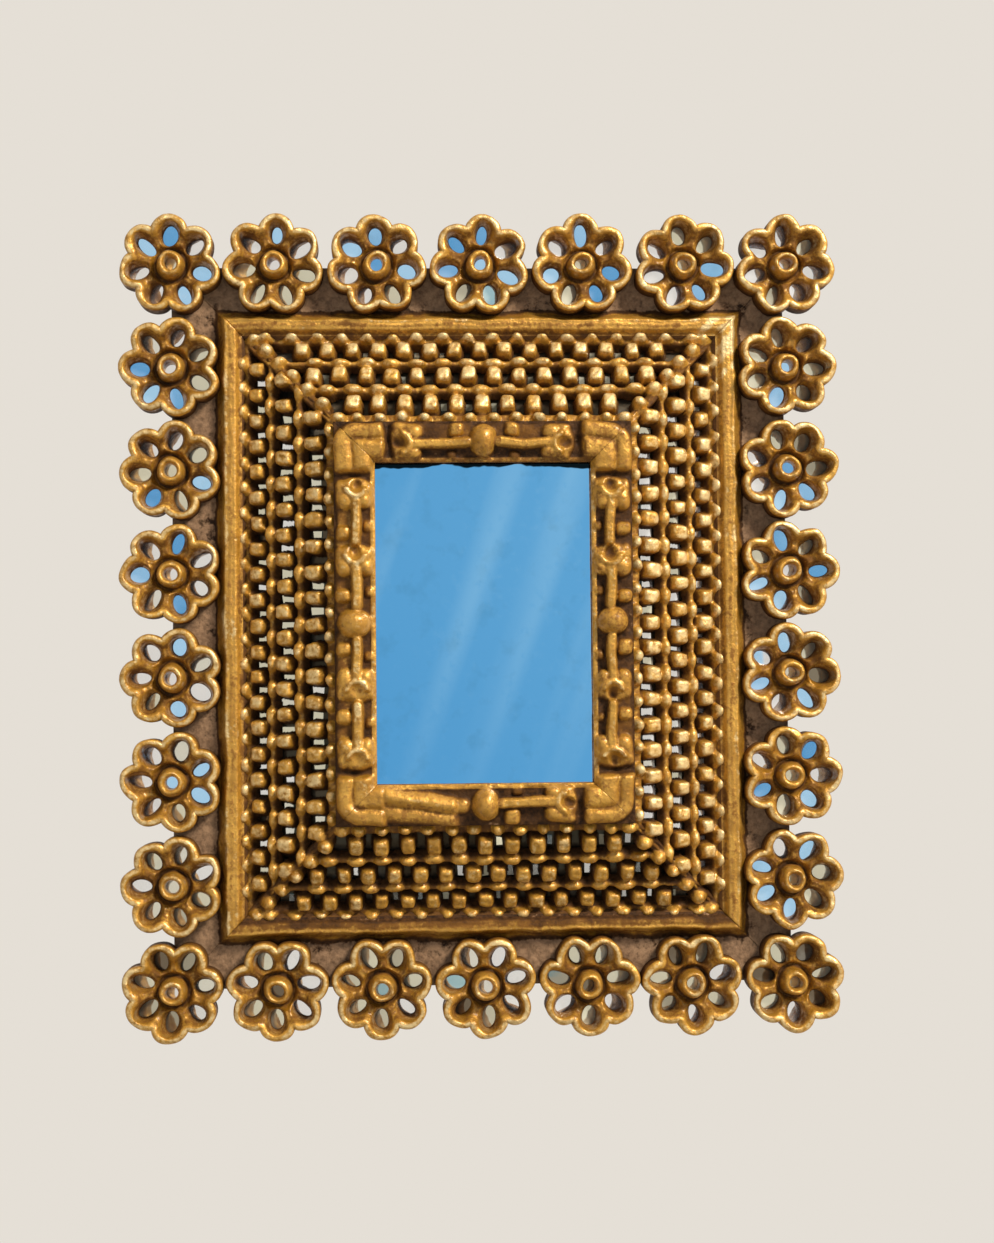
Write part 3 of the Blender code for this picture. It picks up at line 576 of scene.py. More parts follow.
def rosette_grids(rng):
    """Grids of one rosette as (x, y, height, shade, closed round), with its first petal along +y."""
    line = np.linspace(GROOVE_RADIUS, VALLEY, LINE_STEPS, endpoint=False)
    back = np.linspace(VALLEY, GROOVE_RADIUS, LINE_STEPS, endpoint=False)
    arc = np.linspace(-PETAL_BEND, PETAL_BEND, ARC_STEPS, endpoint=False)
    inner = np.linspace(HALF_SECTOR, -HALF_SECTOR, INNER_STEPS, endpoint=False)
    cos, sin = math.cos(HALF_SECTOR), math.sin(HALF_SECTOR)
    arc_p, arc_q = PETAL_CENTRE + PETAL_ROUND * np.cos(arc), PETAL_ROUND * np.sin(arc)
    inner_p, inner_q = GROOVE_RADIUS * np.cos(inner), GROOVE_RADIUS * np.sin(inner)
    edge_p = np.concatenate([line * cos, arc_p, back * cos, inner_p])
    edge_q = np.concatenate([-line * sin, arc_q, back * sin, inner_q])
    outer = slice(LINE_STEPS, LINE_STEPS + ARC_STEPS + 1)
    rings = np.array(PETAL_RINGS)[:, None]
    wall = np.array([0.0, 0.5, 1.0])[:, None]
    drop = np.array([1.0, 0.62, 0.25, 0.0])[:, None]
    flat = np.zeros((2, edge_p.size))
    grids = []
    for petal in range(PETALS):
        window = petal_window(rng)
        bearing = np.arctan2(edge_q - window[1], edge_p - window[0])
        hole = ellipse_radius(bearing, *window[2:])
        hole_p, hole_q = window[0] + hole * np.cos(bearing), window[1] + hole * np.sin(bearing)
        p, q = lerp(hole_p, edge_p, rings), lerp(hole_q, edge_q, rings)
        height, shade = rosette_relief(p, q, window)
        rim = height[-1, outer] * drop
        rim_p, rim_q = edge_p[outer] + 0 * rim, edge_q[outer] + 0 * rim
        back_p, back_q = np.vstack([edge_p, hole_p]), np.vstack([edge_q, hole_q])
        wall_p, wall_q = hole_p + 0 * wall, hole_q + 0 * wall
        axis = PI / 2 + petal * 2 * HALF_SECTOR
        # The windows' walls and the outside of the rim get painted shade that deepens downwards; the
        # backs are bole
        grids += [
            (*turned(wall_p, wall_q, axis), wall * height[0], lerp(1.0, shade[0], wall), True),
            (*turned(p, q, axis), height, shade, True),
            (*turned(back_p, back_q, axis), flat, 1.0, True),
            (*turned(rim_p, rim_q, axis), rim, lerp(1.0, 0.6, drop) + 0 * rim, False),
        ]
    turn = np.arange(PETALS * INNER_STEPS) * 2 * PI / (PETALS * INNER_STEPS) + PI / 2 - HALF_SECTOR
    hub_r, hub_h = np.array(HUB_PROFILE).T[:, :, None]
    # Painted shade in the groove round the hub, and a painted highlight on its top
    hub_shade = 1.0 - 0.75 * smooth(hub_h, GROOVE_RISE, 8.0) - 0.28 * smooth(hub_h, 10.0, 12.8)
    hub_x, hub_y = hub_r * np.cos(turn), hub_r * np.sin(turn)
    grids.append((hub_x, hub_y, hub_h + 0 * turn, hub_shade + 0 * turn, True))
    return grids


def rosette_centres(side):
    """Where the rosettes of a side stand along it; the corners belong to the top and the bottom."""
    half_line = SIDES[side][2]
    first = 0 if side in ("top", "bottom") else 1
    count = round(2 * half_line / PITCH) + 1
    return [-half_line + k * PITCH for k in range(first, count - first)]


def rosette_seed(side, place):
    return ROSETTE_SEED + 100 * list(SIDES).index(side) + 10 * place


def rosette_spin(seed):
    return np.random.default_rng(seed).normal(0, 0.05)


def add_rosette(shape, side, centre, seed):
    """One rosette, a little turned, tilted and uneven, as carved by hand."""
    spin = rosette_spin(seed)
    rng = np.random.default_rng(seed + 5)
    lean = rng.normal(0, 0.012, 2)
    for x, y, height, shade, closed in rosette_grids(rng):
        turned_x, turned_y = (ROSETTE_SCALE * place for place in turned(x, y, spin))
        lift = smooth(height, 2.0, 8.0)
        moved_x = turned_x + 0.45 * wobble(turned_x, turned_y, 19.0, seed + 1)
        moved_y = turned_y + 0.45 * wobble(turned_x, turned_y, 19.0, seed + 2)
        uneven = 0.35 * wobble(turned_x, turned_y, 13.0, seed + 3)
        uneven = uneven + 0.24 * wobble(turned_x, turned_y, 4.5, seed + 4)
        rise = height + lift * (uneven + lean[0] * x + lean[1] * y)
        points = to_world(side, centre + moved_x, -moved_y, ROSETTE_BACK + rise)
        shape.grid(np.clip(points, CAD_BOX[0], CAD_BOX[1]), shade, closed=closed)


def border_section(side, share, a):
    """(u, d, shade) of the rail's section at places along it, one row for each place."""
    foot = lerp(BAND_FOOT[side], BAND_CORNER_FOOT, smooth(np.abs(share), 0.75, 0.95))
    foot = foot + 0.55 * wobble(a, 0.0, 34.0, 11) + 0.3 * wobble(a, 0.0, 9.0, 12)
    crown = BAND_CROWN + 0.3 * wobble(a, 0.0, 40.0, 13)
    smear = 0.26 * wobble(a, 0.0, 26.0, 18) + 0.14 * wobble(a, 0.0, 8.0, 19)
    rows = [(0, BOARD_BACK, 1), (0, 11, 1), (0, LEDGE - 0.8, 1)]
    for u in LEDGE_ROWS:
        rough = 0.28 * wobble(a, u, 11.0, 14) + 0.12 * wobble(a, u, 4.0, 15)
        rows.append((u, LEDGE - 0.3 + rough, DUSTY + (smear - 0.14) * smooth(u, 14.0, 20.0)))
    # The foot of the band gets painted shade where it meets the ledge, with smears of gold
    rows.append((foot, LEDGE + 0.2, FOOT_SHADE + smear))
    inner = SEAT_TOP[0] - 0.25
    # A painted highlight near the band's end at one corner
    corner_highlight = smooth(share * HIGHLIGHT_END[side], 0.80, 0.86) * (0.55 + 0.5 * wobble(a, 0.0, 6.0, 21))
    for step in range(1, BAND_STEPS + 1):
        t = step / BAND_STEPS
        rise, fall = smooth(t, -0.06, 0.34), smooth(t, 0.70, 0.98)
        d = lerp(LEDGE, crown, rise) - fall * (crown - SEAT_TOP[1])
        lines = 0.13 * np.sin(t * 26.0 + 1.1 * wobble(a, 0.0, 60.0, 16)) * (0.2 < t < 0.7)
        streaks = 0.18 * np.sin(t * 15.0 + 0.8 * wobble(a, 0.0, 70.0, 17))
        streaks = streaks + 0.12 * wobble(a, 0.0, 30.0, 20)
        # Painted shade for each side and towards the lattice, streaks of wear, and the painted
        # highlight at the corner
        shade_and_wear = BAND_SIDE_SHADE[side] + streaks + BAND_FADE[side] * smooth(t, 0.42, 0.85) - corner_highlight
        shade = lerp(FOOT_SHADE + smear, shade_and_wear, min(1.0, t * 4))
        rows.append((lerp(foot, inner, t), d + lines, shade))
    # Painted shade in the seat between the band and the lattice; the back of the rail is bole
    rows += [(*SEAT_TOP, 0.8), (*SEAT_LOW, 1), (*SHELF_END, 1), (SHELF_END[0], BOARD_BACK, 1)]
    return [np.stack([np.broadcast_to(row[k], a.shape) for row in rows], axis=-1) for k in range(3)]


def swept(shape, side, a_share, u, d, shade):
    """A closed section swept along a side, with its ends on the mitres."""
    half_line = SIDES[side][2]
    a = a_share[:, None] * (half_line - u - MITRE_GAP)
    index = shape.grid(to_world(side, a, u, d), shade, closed=True)
    shape.faces += [index[0].tolist(), index[-1].tolist()]


def add_borders(gilt):
    for number, side in enumerate(SIDES):
        shape = Shape()
        half_line = SIDES[side][2]
        share = np.linspace(-1, 1, round(half_line * BORDER_FINENESS))
        u, d, shade = border_section(side, share, share * half_line + RAIL_SHIFT * number)
        swept(shape, side, share, u, d, shade)
        for place, centre in enumerate(rosette_centres(side)):
            add_rosette(shape, side, centre, rosette_seed(side, place))
        shape.build("carved_border_" + side, gilt, ["border_" + side])


# Lattice panels


class Relief:
    """Height map of a carved side, on a grid whose ends run along the mitres."""

    def __init__(self, ends, across, steps, floor, warp, wave, seed):
        self.across, self.floor, self.warp = across, floor, warp
        self.grid_a = np.linspace(-1, 1, steps)[:, None] * ends[None, :]
        self.grid_b = np.broadcast_to(across[None, :], self.grid_a.shape)
        # Shapes are laid out in warped places, so that no two come out alike
        self.a = self.grid_a + warp * wobble(self.grid_a, self.grid_b, wave, seed)
        self.b = self.grid_b + warp * wobble(self.grid_a, self.grid_b, wave, seed + 1)
        self.height = np.full(self.a.shape, floor)

    def add(self, far, steep, top, where, columns):
        """A rounded form that is highest where far is 0 and ends where far is 1."""
        rise = np.maximum(1 - far**steep, 0) ** (1 / steep)
        height = np.where(far < 1, lerp(self.floor, top, rise * where), self.floor - CLEAR_BELOW)
        self.height[:, columns] = smooth_max(self.height[:, columns], height, RELIEF_BLEND)

    def dome(self, a, b, reach_a, reach_b, top, power, steep):
        """A rounded lump that stands on the floor."""
        margin = reach_b + 2 * self.warp
        low, high = np.searchsorted(self.across, (b - margin, b + margin))
        columns = slice(max(low - 1, 0), high + 1)
        da = np.abs(self.a[:, columns] - a) / reach_a
        db = np.abs(self.b[:, columns] - b) / reach_b
        self.add((da**power + db**power) ** (1 / power), steep, top, 1.0, columns)

    def ridge(self, line, half_width, top, where=1.0, steep=2.4):
        """A rounded bar; line is each point's distance from the bar's middle."""
        self.add(np.abs(line) / half_width, steep, top, where, slice(None))

    def pit(self, a, b, reach_a, reach_b, bottom):
        """A hollow scooped out of what is there."""
        far = np.hypot((self.a - a) / reach_a, (self.b - b) / reach_b)
        bowl = bottom + (far**2) * (PIT_RIM - bottom)
        self.height = -smooth_max(-self.height, -bowl, PIT_BLEND)

    def shade(self, reach, span):
        """How much lower a point lies than what is around it."""
        return np.clip((blurred(self.height, reach) - self.height) / span, 0, 1)


def lattice_half(side, s):
    """Half the length of a lattice panel at a place up its slope."""
    return SIDES[side][2] - LATTICE_FOOT[0] - s * math.cos(SLOPE)


def row_place(row):
    """Place of a row up the slope; the rows crowd together towards the outer edge."""
    share = lerp(EDGE_SHARE, 1 - EDGE_SHARE, row / LAST_ROW)
    return lerp(-LATTICE_OVERHANG, LATTICE_LENGTH, share * (1 - ROW_CROWDING * (1 - share)))


def row_stretch(row):
    """How much room a row has up the slope, against the middle row."""
    return (row_place(row + 0.5) - row_place(row - 0.5)) / (row_place(3.5) - row_place(2.5))


def lattice_relief(side, seed):
    rng = np.random.default_rng(seed)
    s = np.linspace(-LATTICE_OVERHANG, LATTICE_LENGTH, LATTICE_STEPS)
    ends = lattice_half(side, s) - MITRE_GAP
    steps = round(SIDES[side][2] * LATTICE_FINENESS)
    relief = Relief(ends, s, steps, LATTICE_FLOOR, warp=0.3, wave=11.0, seed=seed + 2)
    # Rails between the rows of posts, a rail under each row of beads, and a stile along each mitre
    for row in RAIL_ROWS:
        relief.ridge(relief.b - row_place(row), 2.5 * row_stretch(row), -3.0)
    for middle in (row_place(0) - 1.0, row_place(LAST_ROW) + 1.0):
        relief.ridge(relief.b - middle, 4.2, -3.2, steep=5.0)
    across = side in ("top", "bottom")
    from_end = ends[None, :] - np.abs(relief.a)
    relief.ridge(from_end, 7.0 if across else 3.4, -4.0, steep=6.0)
    # Lumps of each row: pitch, share of a pitch, half length, half width, top, squareness
    lumps = {row: (LATTICE_PITCH, 0.5 * (row == 3), 4.0, 4.5, 0.3, 4.6) for row in POST_ROWS}
    lumps |= {row: (LATTICE_PITCH, 0.5 * (row == 2), 5.2, 3.2, -0.3, 2.6) for row in RAIL_ROWS}
    lumps |= {0: (12.2, 0.5, 4.6, 3.6, 1.6, 2.4), LAST_ROW: (10.9, 0.5, 3.9, 3.0, 0.9, 2.4)}
    for row, (step, share, reach_a, reach_b, top, square) in lumps.items():
        middle = row_place(row)
        limit = lattice_half(side, middle) - MITRE_ROOM[side]
        count = math.ceil(limit / step)
        for k in range(-count, count + 1):
            place = (k + share) * step
            jitter = rng.uniform(-1, 1, 5)
            if abs(place) < limit:
                relief.dome(
                    place + 0.45 * jitter[0], middle + 0.35 * jitter[1], reach_a + 0.3 * jitter[2],
                    (reach_b + 0.2 * jitter[3]) * row_stretch(row), top + 0.45 * jitter[4],
                    square, square,
                )
    if across:
        for sign in (-1, 1):
            for row in range(LAST_ROW + 1):
                middle = row_place(row)
                place = lattice_half(side, middle) - MITRE_BEAD
                top = 1.0 + 0.3 * rng.uniform(-1, 1)
                relief.dome(sign * place, middle, 4.4, 4.0, top, 2.2, 2.4)
    relief.height = blurred(relief.height, 1) + 0.18 * wobble(relief.a, relief.b, 5.0, seed + 1)
    return relief


def slope_place(side, a, s, n):
    u = LATTICE_FOOT[0] + s * math.cos(SLOPE) - n * math.sin(SLOPE)
    d = LATTICE_FOOT[1] + s * math.sin(SLOPE) + n * math.cos(SLOPE)
    return to_world(side, a, u, d)


def add_lattices(gilt):
    for number, side in enumerate(SIDES):
        relief = lattice_relief(side, LATTICE_SEED + number)
        shape = Shape()
        solid = relief.height > HOLE_CUT
        keep = solid[:-1, :-1] | solid[1:, :-1] | solid[1:, 1:] | solid[:-1, 1:]
        top = np.maximum(relief.height, -LATTICE_DEPTH + 0.1)
        # Painted shade in the hollows and down the sides of the forms, painted light and shade for each
        # side, and a painted highlight on the tops
        recess = relief.shade(reach=5, span=3.2)
        shade = np.maximum(0.7 * recess, smooth(-relief.height, 1.2, 5.0))
        shade += LATTICE_SIDE_SHADE[side] - 0.27 * smooth(relief.height, -0.9, 0.7)
        face = shape.grid(slope_place(side, relief.grid_a, relief.grid_b, top), shade, keep=keep)
        bottom = np.full(top.shape, -LATTICE_DEPTH)
        under = shape.grid(slope_place(side, relief.grid_a, relief.grid_b, bottom), 1.0, keep=keep)
        # Walls of the holes and of the outer edge: wherever a quad that stays meets one that doesn't
        framed = np.pad(keep, 1)
        i, j = np.nonzero(framed[:-1, 1:-1] != framed[1:, 1:-1])
        shape.add_quads(face[i, j], face[i, j + 1], under[i, j + 1], under[i, j])
        i, j = np.nonzero(framed[1:-1, :-1] != framed[1:-1, 1:])
        shape.add_quads(face[i, j], face[i + 1, j], under[i + 1, j], under[i, j])
        shape.build("carved_lattice_" + side, gilt, ["lattice_" + side])


# Sight mouldings


def sight_relief(side, seed):
    half = SIDES[side][2] - SIGHT_U
    w = np.linspace(0, SIGHT_WIDTH, SIGHT_STEPS)
    steps = round(half * SIGHT_FINENESS)
    ends = half - w - MITRE_GAP
    relief = Relief(ends, w, steps, SIGHT_FLOOR, warp=0.6, wave=24.0, seed=seed + 2)
    rng = np.random.default_rng(seed + 1)
    # Plain ground along the outer edge and along the lip, and the lip itself
    relief.ridge(relief.b - 2.5, 5.5, 41.2, steep=5.0)
    relief.ridge(relief.b - (SIGHT_WIDTH - 5.0), 3.8, 41.7, steep=5.0)
    relief.ridge(relief.b - (SIGHT_WIDTH - 1.3), 1.8, 42.2)
    # Corner leaf: rolls that bend round the corner and sink at the ends of their arms
    other = half - np.abs(relief.a)
    near, far = np.minimum(relief.b, other), np.maximum(relief.b, other)
    to_bend = np.maximum(LEAF_BEND - relief.b, 0), np.maximum(LEAF_BEND - other, 0)
    bend = np.where(near < LEAF_BEND, LEAF_BEND - np.hypot(*to_bend), near)
    arms = smooth(LEAF_REACH - far, 0.0, 4.5)
    for line, half_width, top in LEAF_ROLLS:
        relief.ridge(bend - line, half_width, top, arms, 2.8)
    arm = half - LEAF_REACH
    units = max(1, round((arm - BALL_RADIUS) / SCROLL_LENGTH))
    joints = np.linspace(BALL_RADIUS + 0.6, arm + 0.4, units + 1)
    for sign in (-1, 1):
        cup_bottom = WORN_CUP if side == "left" and sign < 0 else SCROLL_CUP
        for start, end in zip(joints[:-1], joints[1:]):
            if side == "bottom" and sign > 0:
                add_soft_lumps(relief, rng, sign, start, end)
            else:
                add_scroll(relief, rng, sign, start, end, cup_bottom)
    relief.dome(0.0, SIGHT_WIDTH / 2, BALL_RADIUS, BALL_RADIUS + 0.8, BALL_TOP, 2.0, 2.0)
    relief.height = blurred(relief.height, 1) + 0.14 * wobble(relief.a, relief.b, 8.0, seed)
    return relief


def add_scroll(relief, rng, sign, start, end, cup_bottom):
    """A broad head with a cup open towards the corner, a thin bar from it towards the ball, and a
    shelf outside the bar."""
    middle = SIGHT_WIDTH / 2 + 0.8
    a = relief.a * sign
    vary = rng.uniform(-1, 1, 6)
    head, bar_end = end - 8.6 + 0.5 * vary[0], end - 12.0
    cup = end - 5.8 + 0.5 * vary[0]
    past_bar = np.maximum(np.abs(a - (start + bar_end) / 2) - (bar_end - start) / 2, 0)
    relief.ridge(np.hypot(past_bar, relief.b - 6.0), 5.4, 42.4 + 0.7 * vary[5], steep=6.0)
    relief.dome(sign * head, middle - 0.6, 8.2, 9.6, 45.6, 2.4, 2.6)
    relief.ridge(np.hypot(past_bar, relief.b - middle), 2.5, 46.6, steep=5.0)
    # Lumps beside the bar and round the head: place along and across, half sides, top, squareness
    for place_a, place_b, reach_a, reach_b, top, square in (
        (start + 4.6 + 0.5 * vary[1], 4.2, 3.6, 3.9, 46.0, 3.2),
        (start + 7.0 + vary[3], 16.2, 3.0, 2.6, 43.6, 2.4),
        (head - 3.4, 5.2, 5.4 + 0.5 * vary[4], 4.4, 46.4, 2.4),
        (head - 3.6, 14.8, 4.8, 3.6, 46.2, 2.4),
        (head + 2.8 + 0.6 * vary[2], 3.4, 4.6, 2.8, 44.8, 2.4),
        (head + 2.4, 16.6, 4.4, 2.4, 44.6, 2.4),
    ):
        relief.dome(sign * place_a, place_b, reach_a, reach_b, top, square, square)
    ring = np.hypot(a - cup, relief.b - middle) - 4.6
    relief.ridge(ring, 2.4, 47.2, smooth(cup + 2.2 - a, 0.0, 3.0))
    relief.pit(sign * (cup + 1.4), middle, 4.4, 3.6, cup_bottom)
    relief.pit(sign * (end + 0.6), middle - 1.5, 1.8, 9.0, 40.8)


def add_soft_lumps(relief, rng, sign, start, end):
    """A softened unit: two long slanting folds that run on into the corner leaf, and a lump by the
    ball.
    """
    vary = rng.uniform(-1, 1, 2)
    a = relief.a * sign
    slant = relief.b - 11.2 - 0.15 * (a - lerp(start, end, 0.5 + 0.02 * vary[0]))
    along = smooth(a, start + 1.0, start + 8.0) * smooth(-a, -9.0 - end, -1.0 - end)
    relief.ridge(slant + 6.8, 5.0, 44.6, along, 2.0)
    relief.ridge(slant, 5.4, 46.8, along, 1.7)
    relief.dome(sign * (start + 3.2), 9.4 + 0.4 * vary[1], 4.6, 4.8, 44.8, 2.2, 2.0)


def add_sight_mouldings(gilt):
    opening = SIGHT_U + SIGHT_WIDTH
    under = [
        (opening, SIGHT_LIP_BACK), (opening - RABBET, SIGHT_LIP_BACK),
        (opening - RABBET, SIGHT_BACK), (SIGHT_SEAT_U, SIGHT_BACK),
    ]
    for number, side in enumerate(SIDES):
        relief = sight_relief(side, SIGHT_SEED + number)
        steps = relief.a.shape[0]
        # Painted shade in the hollows and on the low ground, a painted highlight on the crests away
        # from the ball, painted shade for each side, and painted shade on the lip
        recess = relief.shade(reach=7, span=2.8)
        shade = np.maximum(0.95 * recess, smooth(45.2 - relief.height, 0.0, 4.8))
        crest_highlight = smooth(relief.height, 45.8, 47.2) * (np.abs(relief.grid_a) > BALL_RADIUS + 1)
        shade += SIGHT_SIDE_SHADE[side] - 0.40 * crest_highlight
        on_lip = smooth(relief.grid_b, SIGHT_WIDTH - 2.6, SIGHT_WIDTH - 1.8)
        shade = lerp(shade, LIP_SHADE[side], on_lip)
        under_u, under_d = (np.repeat(np.array(row)[None, :], steps, 0) for row in zip(*under))
        u = np.hstack([SIGHT_U + relief.grid_b, under_u])
        d = np.hstack([relief.height, under_d])
        shape = Shape()
        shades = np.hstack([shade, np.ones(under_u.shape)])
        swept(shape, side, np.linspace(-1, 1, steps), u, d, shades)
        shape.build("carved_sight_" + side, gilt, ["sight_moulding_" + side])


# Mirror chips


def add_slab(shape, corners, thickness, shade):
    """A flat chip of glass from the corners of its face and the vector to its back."""
    face = shape.add_points(corners, shade)
    back = shape.add_points(corners + thickness, DARK_TINT)
    shape.faces += [face.tolist(), back[::-1].tolist()]
    shape.add_quads(face, np.roll(face, -1), np.roll(back, -1), back)


def leaning(points, lean):
    """Heights of points on a chip that leans by the given slopes."""
    return (points - points.mean(0)) @ lean


def add_rosette_chips(glass):
    """Chips behind the petals and in the hubs. The clear ones lie nearly flat, the yellowed ones lean
    away."""
    turns = np.arange(CHIP_CORNERS) * 2 * PI / CHIP_CORNERS
    circle = np.stack([np.cos(turns), np.sin(turns)], -1)
    half_sides = (WINDOW_LENGTH / 2 + CHIP_LAP, WINDOW_WIDTH / 2 + CHIP_LAP)
    window = circle * half_sides + (WINDOW_P, 0.0)
    chips = [(window, PI / 2 + petal * 2 * HALF_SECTOR, PETAL_CHIP_RISE) for petal in range(PETALS)]
    chips.append((circle * HUB_CHIP_RADIUS, 0.0, HUB_CHIP_RISE))
    for side in SIDES:
        for place, centre in enumerate(rosette_centres(side)):
            seed = rosette_seed(side, place)
            rng = np.random.default_rng(seed + 6)
            away = (0.0, LEAN_AWAY)
            if side in ("top", "bottom"):
                away = (math.copysign(LEAN_AWAY, centre), 0.0)
            shape = Shape()
            for outline, turn, rise in chips:
                turn += rosette_spin(seed)
                cos, sin = math.cos(turn) * ROSETTE_SCALE, math.sin(turn) * ROSETTE_SCALE
                flat = outline @ np.array([(cos, sin), (-sin, cos)])
                tint = rng.uniform(*ROSETTE_TINTS[side])
                lean = rng.normal(0, 0.06, 2) - np.array(away) * (tint > LEANING)
                depth = ROSETTE_BACK + rise + leaning(flat, lean)
                corners = to_world(side, centre + flat[:, 0], -flat[:, 1], depth)
                add_slab(shape, corners, np.array([0, CHIP_THICKNESS * MM, 0]), tint)
            node = f"rosette_mirror_{side}_{place + 1}"
            shape.build("chips_" + node, glass, [node], soft=False)


def add_lattice_chips(glass):
    """A dark chip under each hole of the lattice, which paints the shade deep in the hole, and over
    some of them a small clear one."""
    half_long = LATTICE_PITCH / 2 - 0.4
    square = np.array([(-1, -1), (1, -1), (1, 1), (-1, 1)])
    for number, side in enumerate(SIDES):
        rng = np.random.default_rng(CHIP_SEED + number)
        shape = Shape()
        clear_share, clear_long, clear_wide, lean_in, low_tint, high_tint = LATTICE_CLEAR[side]
        inwards = slope_place(side, 0.0, 0.0, 0.0) - slope_place(side, 0.0, 0.0, 1.0)
        for row in POST_ROWS:
            middle = row_place(row)
            half_wide = (row_place(row + 1) - row_place(row - 1)) / 2 - 0.3
            limit = lattice_half(side, middle + half_wide) - MITRE_GAP - half_long
            share = 0.0 if row == 3 else 0.5
            count = math.ceil(limit / LATTICE_PITCH)
            for k in range(-count, count + 1):
                place = (k + share) * LATTICE_PITCH
                vary = rng.uniform(-1, 1, 8)
                if abs(place) > limit:
                    continue
                # The dark chip paints the shade at the bottom of the hole
                chips = [(square * (half_long, half_wide), DARK_CHIP_RISE, 0.03 * vary[:2], DARK_TINT)]
                if rng.uniform() < clear_share:
                    ragged = square * (1 + 0.2 * vary[2:4]) + 0.15 * rng.uniform(-1, 1, (4, 2))
                    shift = (0.8 * vary[4], 0.5 * vary[5] - 1.4)
                    clear = ragged * (clear_long, clear_wide) + shift
                    lean = np.array([0.06 * vary[6], 0.05 * vary[7] - lean_in])
                    chips.append((clear, CLEAR_RISE, lean, rng.uniform(low_tint, high_tint)))
                for flat, rise, lean, tint in chips:
                    depth = rise + leaning(flat, lean)
                    corners = slope_place(side, place + flat[:, 0], middle + flat[:, 1], depth)
                    add_slab(shape, corners, inwards * CHIP_THICKNESS, tint)
        node = "lattice_mirror_" + side
        shape.build("chips_" + node, glass, [node], soft=False)


# Finishes, stage, light and camera


def finish_cad_nodes():
    """Materials of the nodes that keep the part's own shapes."""
    opening_top = (HALF_HEIGHT - SIGHT_U - SIGHT_WIDTH) * MM
    dark_edge = opening_top - BLACK_EDGE_WIDTH * MM
    finishes = {
        "silvered_glass": make_mirror("looking_glass_silver", 1.0, 1.0, dark_edge),
        "bare_wood": make_wood(),
        "plain_steel": make_steel(),
    }
    for part in frame["record"]["subparts"]:
        node = frame["nodes"][part["node"]]
        if not node.hide_render:
            node.data.materials.clear()
            node.data.materials.append(finishes[part["material_slot"]])


def add_sheet(name, corners, material, glossy_only=False):
    mesh = bpy.data.meshes.new(name)
    mesh.from_pydata(corners, [], [range(len(corners))])
    mesh.materials.append(material)
    sheet = bpy.data.objects.new(name, mesh)
    bpy.context.scene.collection.objects.link(sheet)
    if glossy_only:
        sheet.visible_camera = False
        sheet.visible_diffuse = False
        sheet.visible_shadow = False


def card_material(name, colours, rim, streaks):
    """A card that glows softly, so that the mirrors have something to show. Its rim says the middle,
    the two distances from there between which the colour changes, and the colour beyond."""
    material = bpy.data.materials.new(name)
    material.use_nodes = True
    tree = material.node_tree
    tree.nodes.clear()
    coords = object_coords(tree)
    slant = {"Vector": coords, "Rotation": (0, 0.36, 0), "Scale": (0.1, 1.0, 2.2)}
    slanted = add_node(tree, "ShaderNodeMapping", slant, vector_type="TEXTURE").outputs["Vector"]
    bands = remap(tree, noise(tree, slanted, 1.0, 2.0), 0.5, 0.75)
    fade = remap(tree, height_in(tree, coords), -0.15, 0.22, 0.15, streaks)
    colour = blend(tree, noise(tree, coords, 0.9, 1.0), *colours)
    colour = blend(tree, math_node(tree, "MULTIPLY", bands, fade), colour, STREAK)
    middle, near, far, beyond = rim
    offset = add_node(tree, "ShaderNodeVectorMath", {0: coords, 1: middle}, operation="DISTANCE")
    colour = blend(tree, remap(tree, offset.outputs["Value"], near, far), colour, beyond)
    glow = add_node(tree, "ShaderNodeEmission", {"Color": colour, "Strength": 1.0})
    add_node(tree, "ShaderNodeOutputMaterial", {"Surface": glow.outputs[0]})
    return material


def add_stage():
    material, tree, shader = new_material("pale_floor")
    paper = blend(tree, noise(tree, object_coords(tree), 40.0), *FLOOR)
    set_inputs(tree, shader, {"Base Color": paper, "Roughness": 0.9})
    turns = [k * 2 * PI / FLOOR_CORNERS for k in range(FLOOR_CORNERS)]
    ring = [(FLOOR_REACH * math.cos(turn), FLOOR_REACH * math.sin(turn), FLOOR_Z) for turn in turns]
    add_sheet("floor", ring, material)
    signs = ((-1, -1), (-1, 1), (1, 1), (1, -1))
    for name, (middle, across, along, colours, (near, far), beyond, streaks) in CARDS.items():
        material = card_material(name, colours, (middle, near, far, beyond), streaks)
        corners = [np.array(middle) + p * np.array(across) + q * np.array(along) for p, q in signs]
        add_sheet(name, corners, material, glossy_only=True)


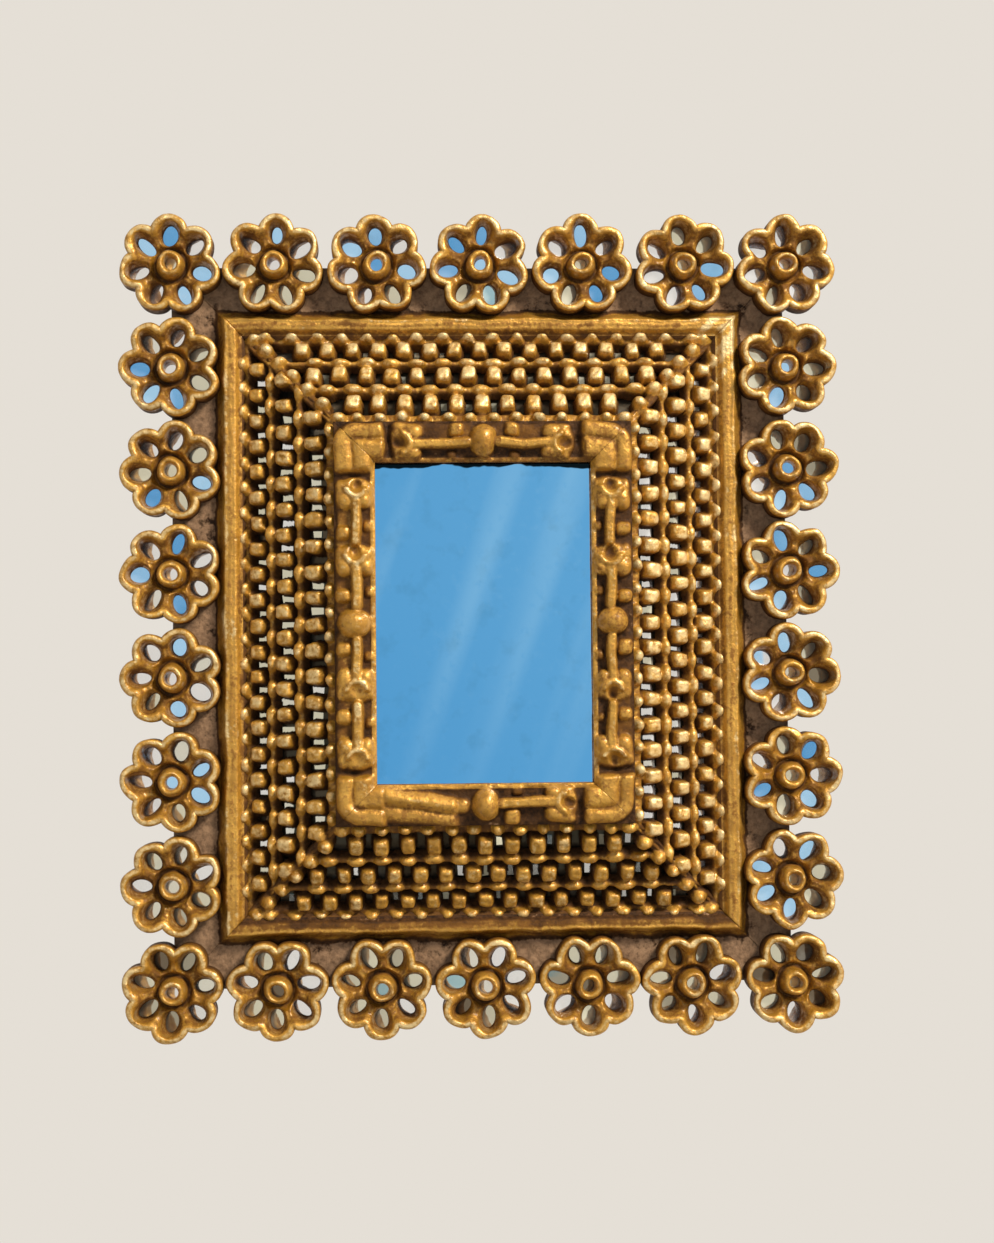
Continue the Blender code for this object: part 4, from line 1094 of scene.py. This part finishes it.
def add_world():
    """A pale room to look at and to reflect, and a dimmer sky that lights the mirror."""
    world = bpy.data.worlds.new("studio")
    bpy.context.scene.world = world
    world.use_nodes = True
    tree = world.node_tree
    tree.nodes.clear()
    path = add_node(tree, "ShaderNodeLightPath").outputs
    seen = math_node(tree, "MAXIMUM", path["Is Camera Ray"], path["Is Glossy Ray"])
    seen = math_node(tree, "MAXIMUM", seen, path["Is Transmission Ray"])
    pale = add_node(tree, "ShaderNodeBackground", {"Color": PALE, "Strength": 1.0})
    ambient = add_node(tree, "ShaderNodeBackground", {"Color": AMBIENT, "Strength": 0.35})
    mix = add_node(tree, "ShaderNodeMixShader", {0: seen, 1: ambient.outputs[0], 2: pale.outputs[0]})
    add_node(tree, "ShaderNodeOutputWorld", {"Surface": mix.outputs[0]})


def add_lamp(name, place, size, power, colour, glossy=True):
    """A round lamp that points at the middle of the mirror."""
    lamp = bpy.data.lights.new(name, "AREA")
    lamp.shape = "DISK"
    lamp.size = size
    lamp.energy = power
    lamp.color = colour
    obj = bpy.data.objects.new(name, lamp)
    obj.location = place
    obj.visible_glossy = glossy
    x, y, z = place
    obj.rotation_euler = (math.atan2(math.hypot(x, y), z), 0, math.atan2(x, -y))
    bpy.context.scene.collection.objects.link(obj)


def add_camera():
    """The photo's view: a metre away, a little to the left of the middle and a little below it."""
    frame_height_px, focal_px, sensor = 1243, 2019.5, 24.0
    camera = bpy.data.cameras.new("photo_camera")
    camera.sensor_fit = "VERTICAL"
    camera.sensor_height = sensor
    camera.lens = focal_px * sensor / frame_height_px
    obj = bpy.data.objects.new("photo_camera", camera)
    obj.location = (-0.0424, -1.0, -0.0307)
    obj.rotation_euler = [math.radians(angle) for angle in (91.859, 0.543, -2.871)]
    bpy.context.scene.collection.objects.link(obj)
    bpy.context.scene.camera = obj


gilt = make_gilt()
add_borders(gilt)
add_lattices(gilt)
add_sight_mouldings(gilt)
add_rosette_chips(make_mirror("mirror_chips", 0.85, 0.7))
add_lattice_chips(make_mirror("lattice_mirror", 0.8, 0.7))
finish_cad_nodes()
add_stage()
add_world()
add_lamp("key", (1.2, -1.25, 1.35), size=0.6, power=70.0, colour=(1.0, 0.95, 0.86))
add_lamp("fill", (-1.4, -1.7, 0.1), size=2.3, power=7.0, colour=(0.92, 0.96, 1.0), glossy=False)
add_camera()
bpy.context.scene.view_settings.view_transform = "Standard"
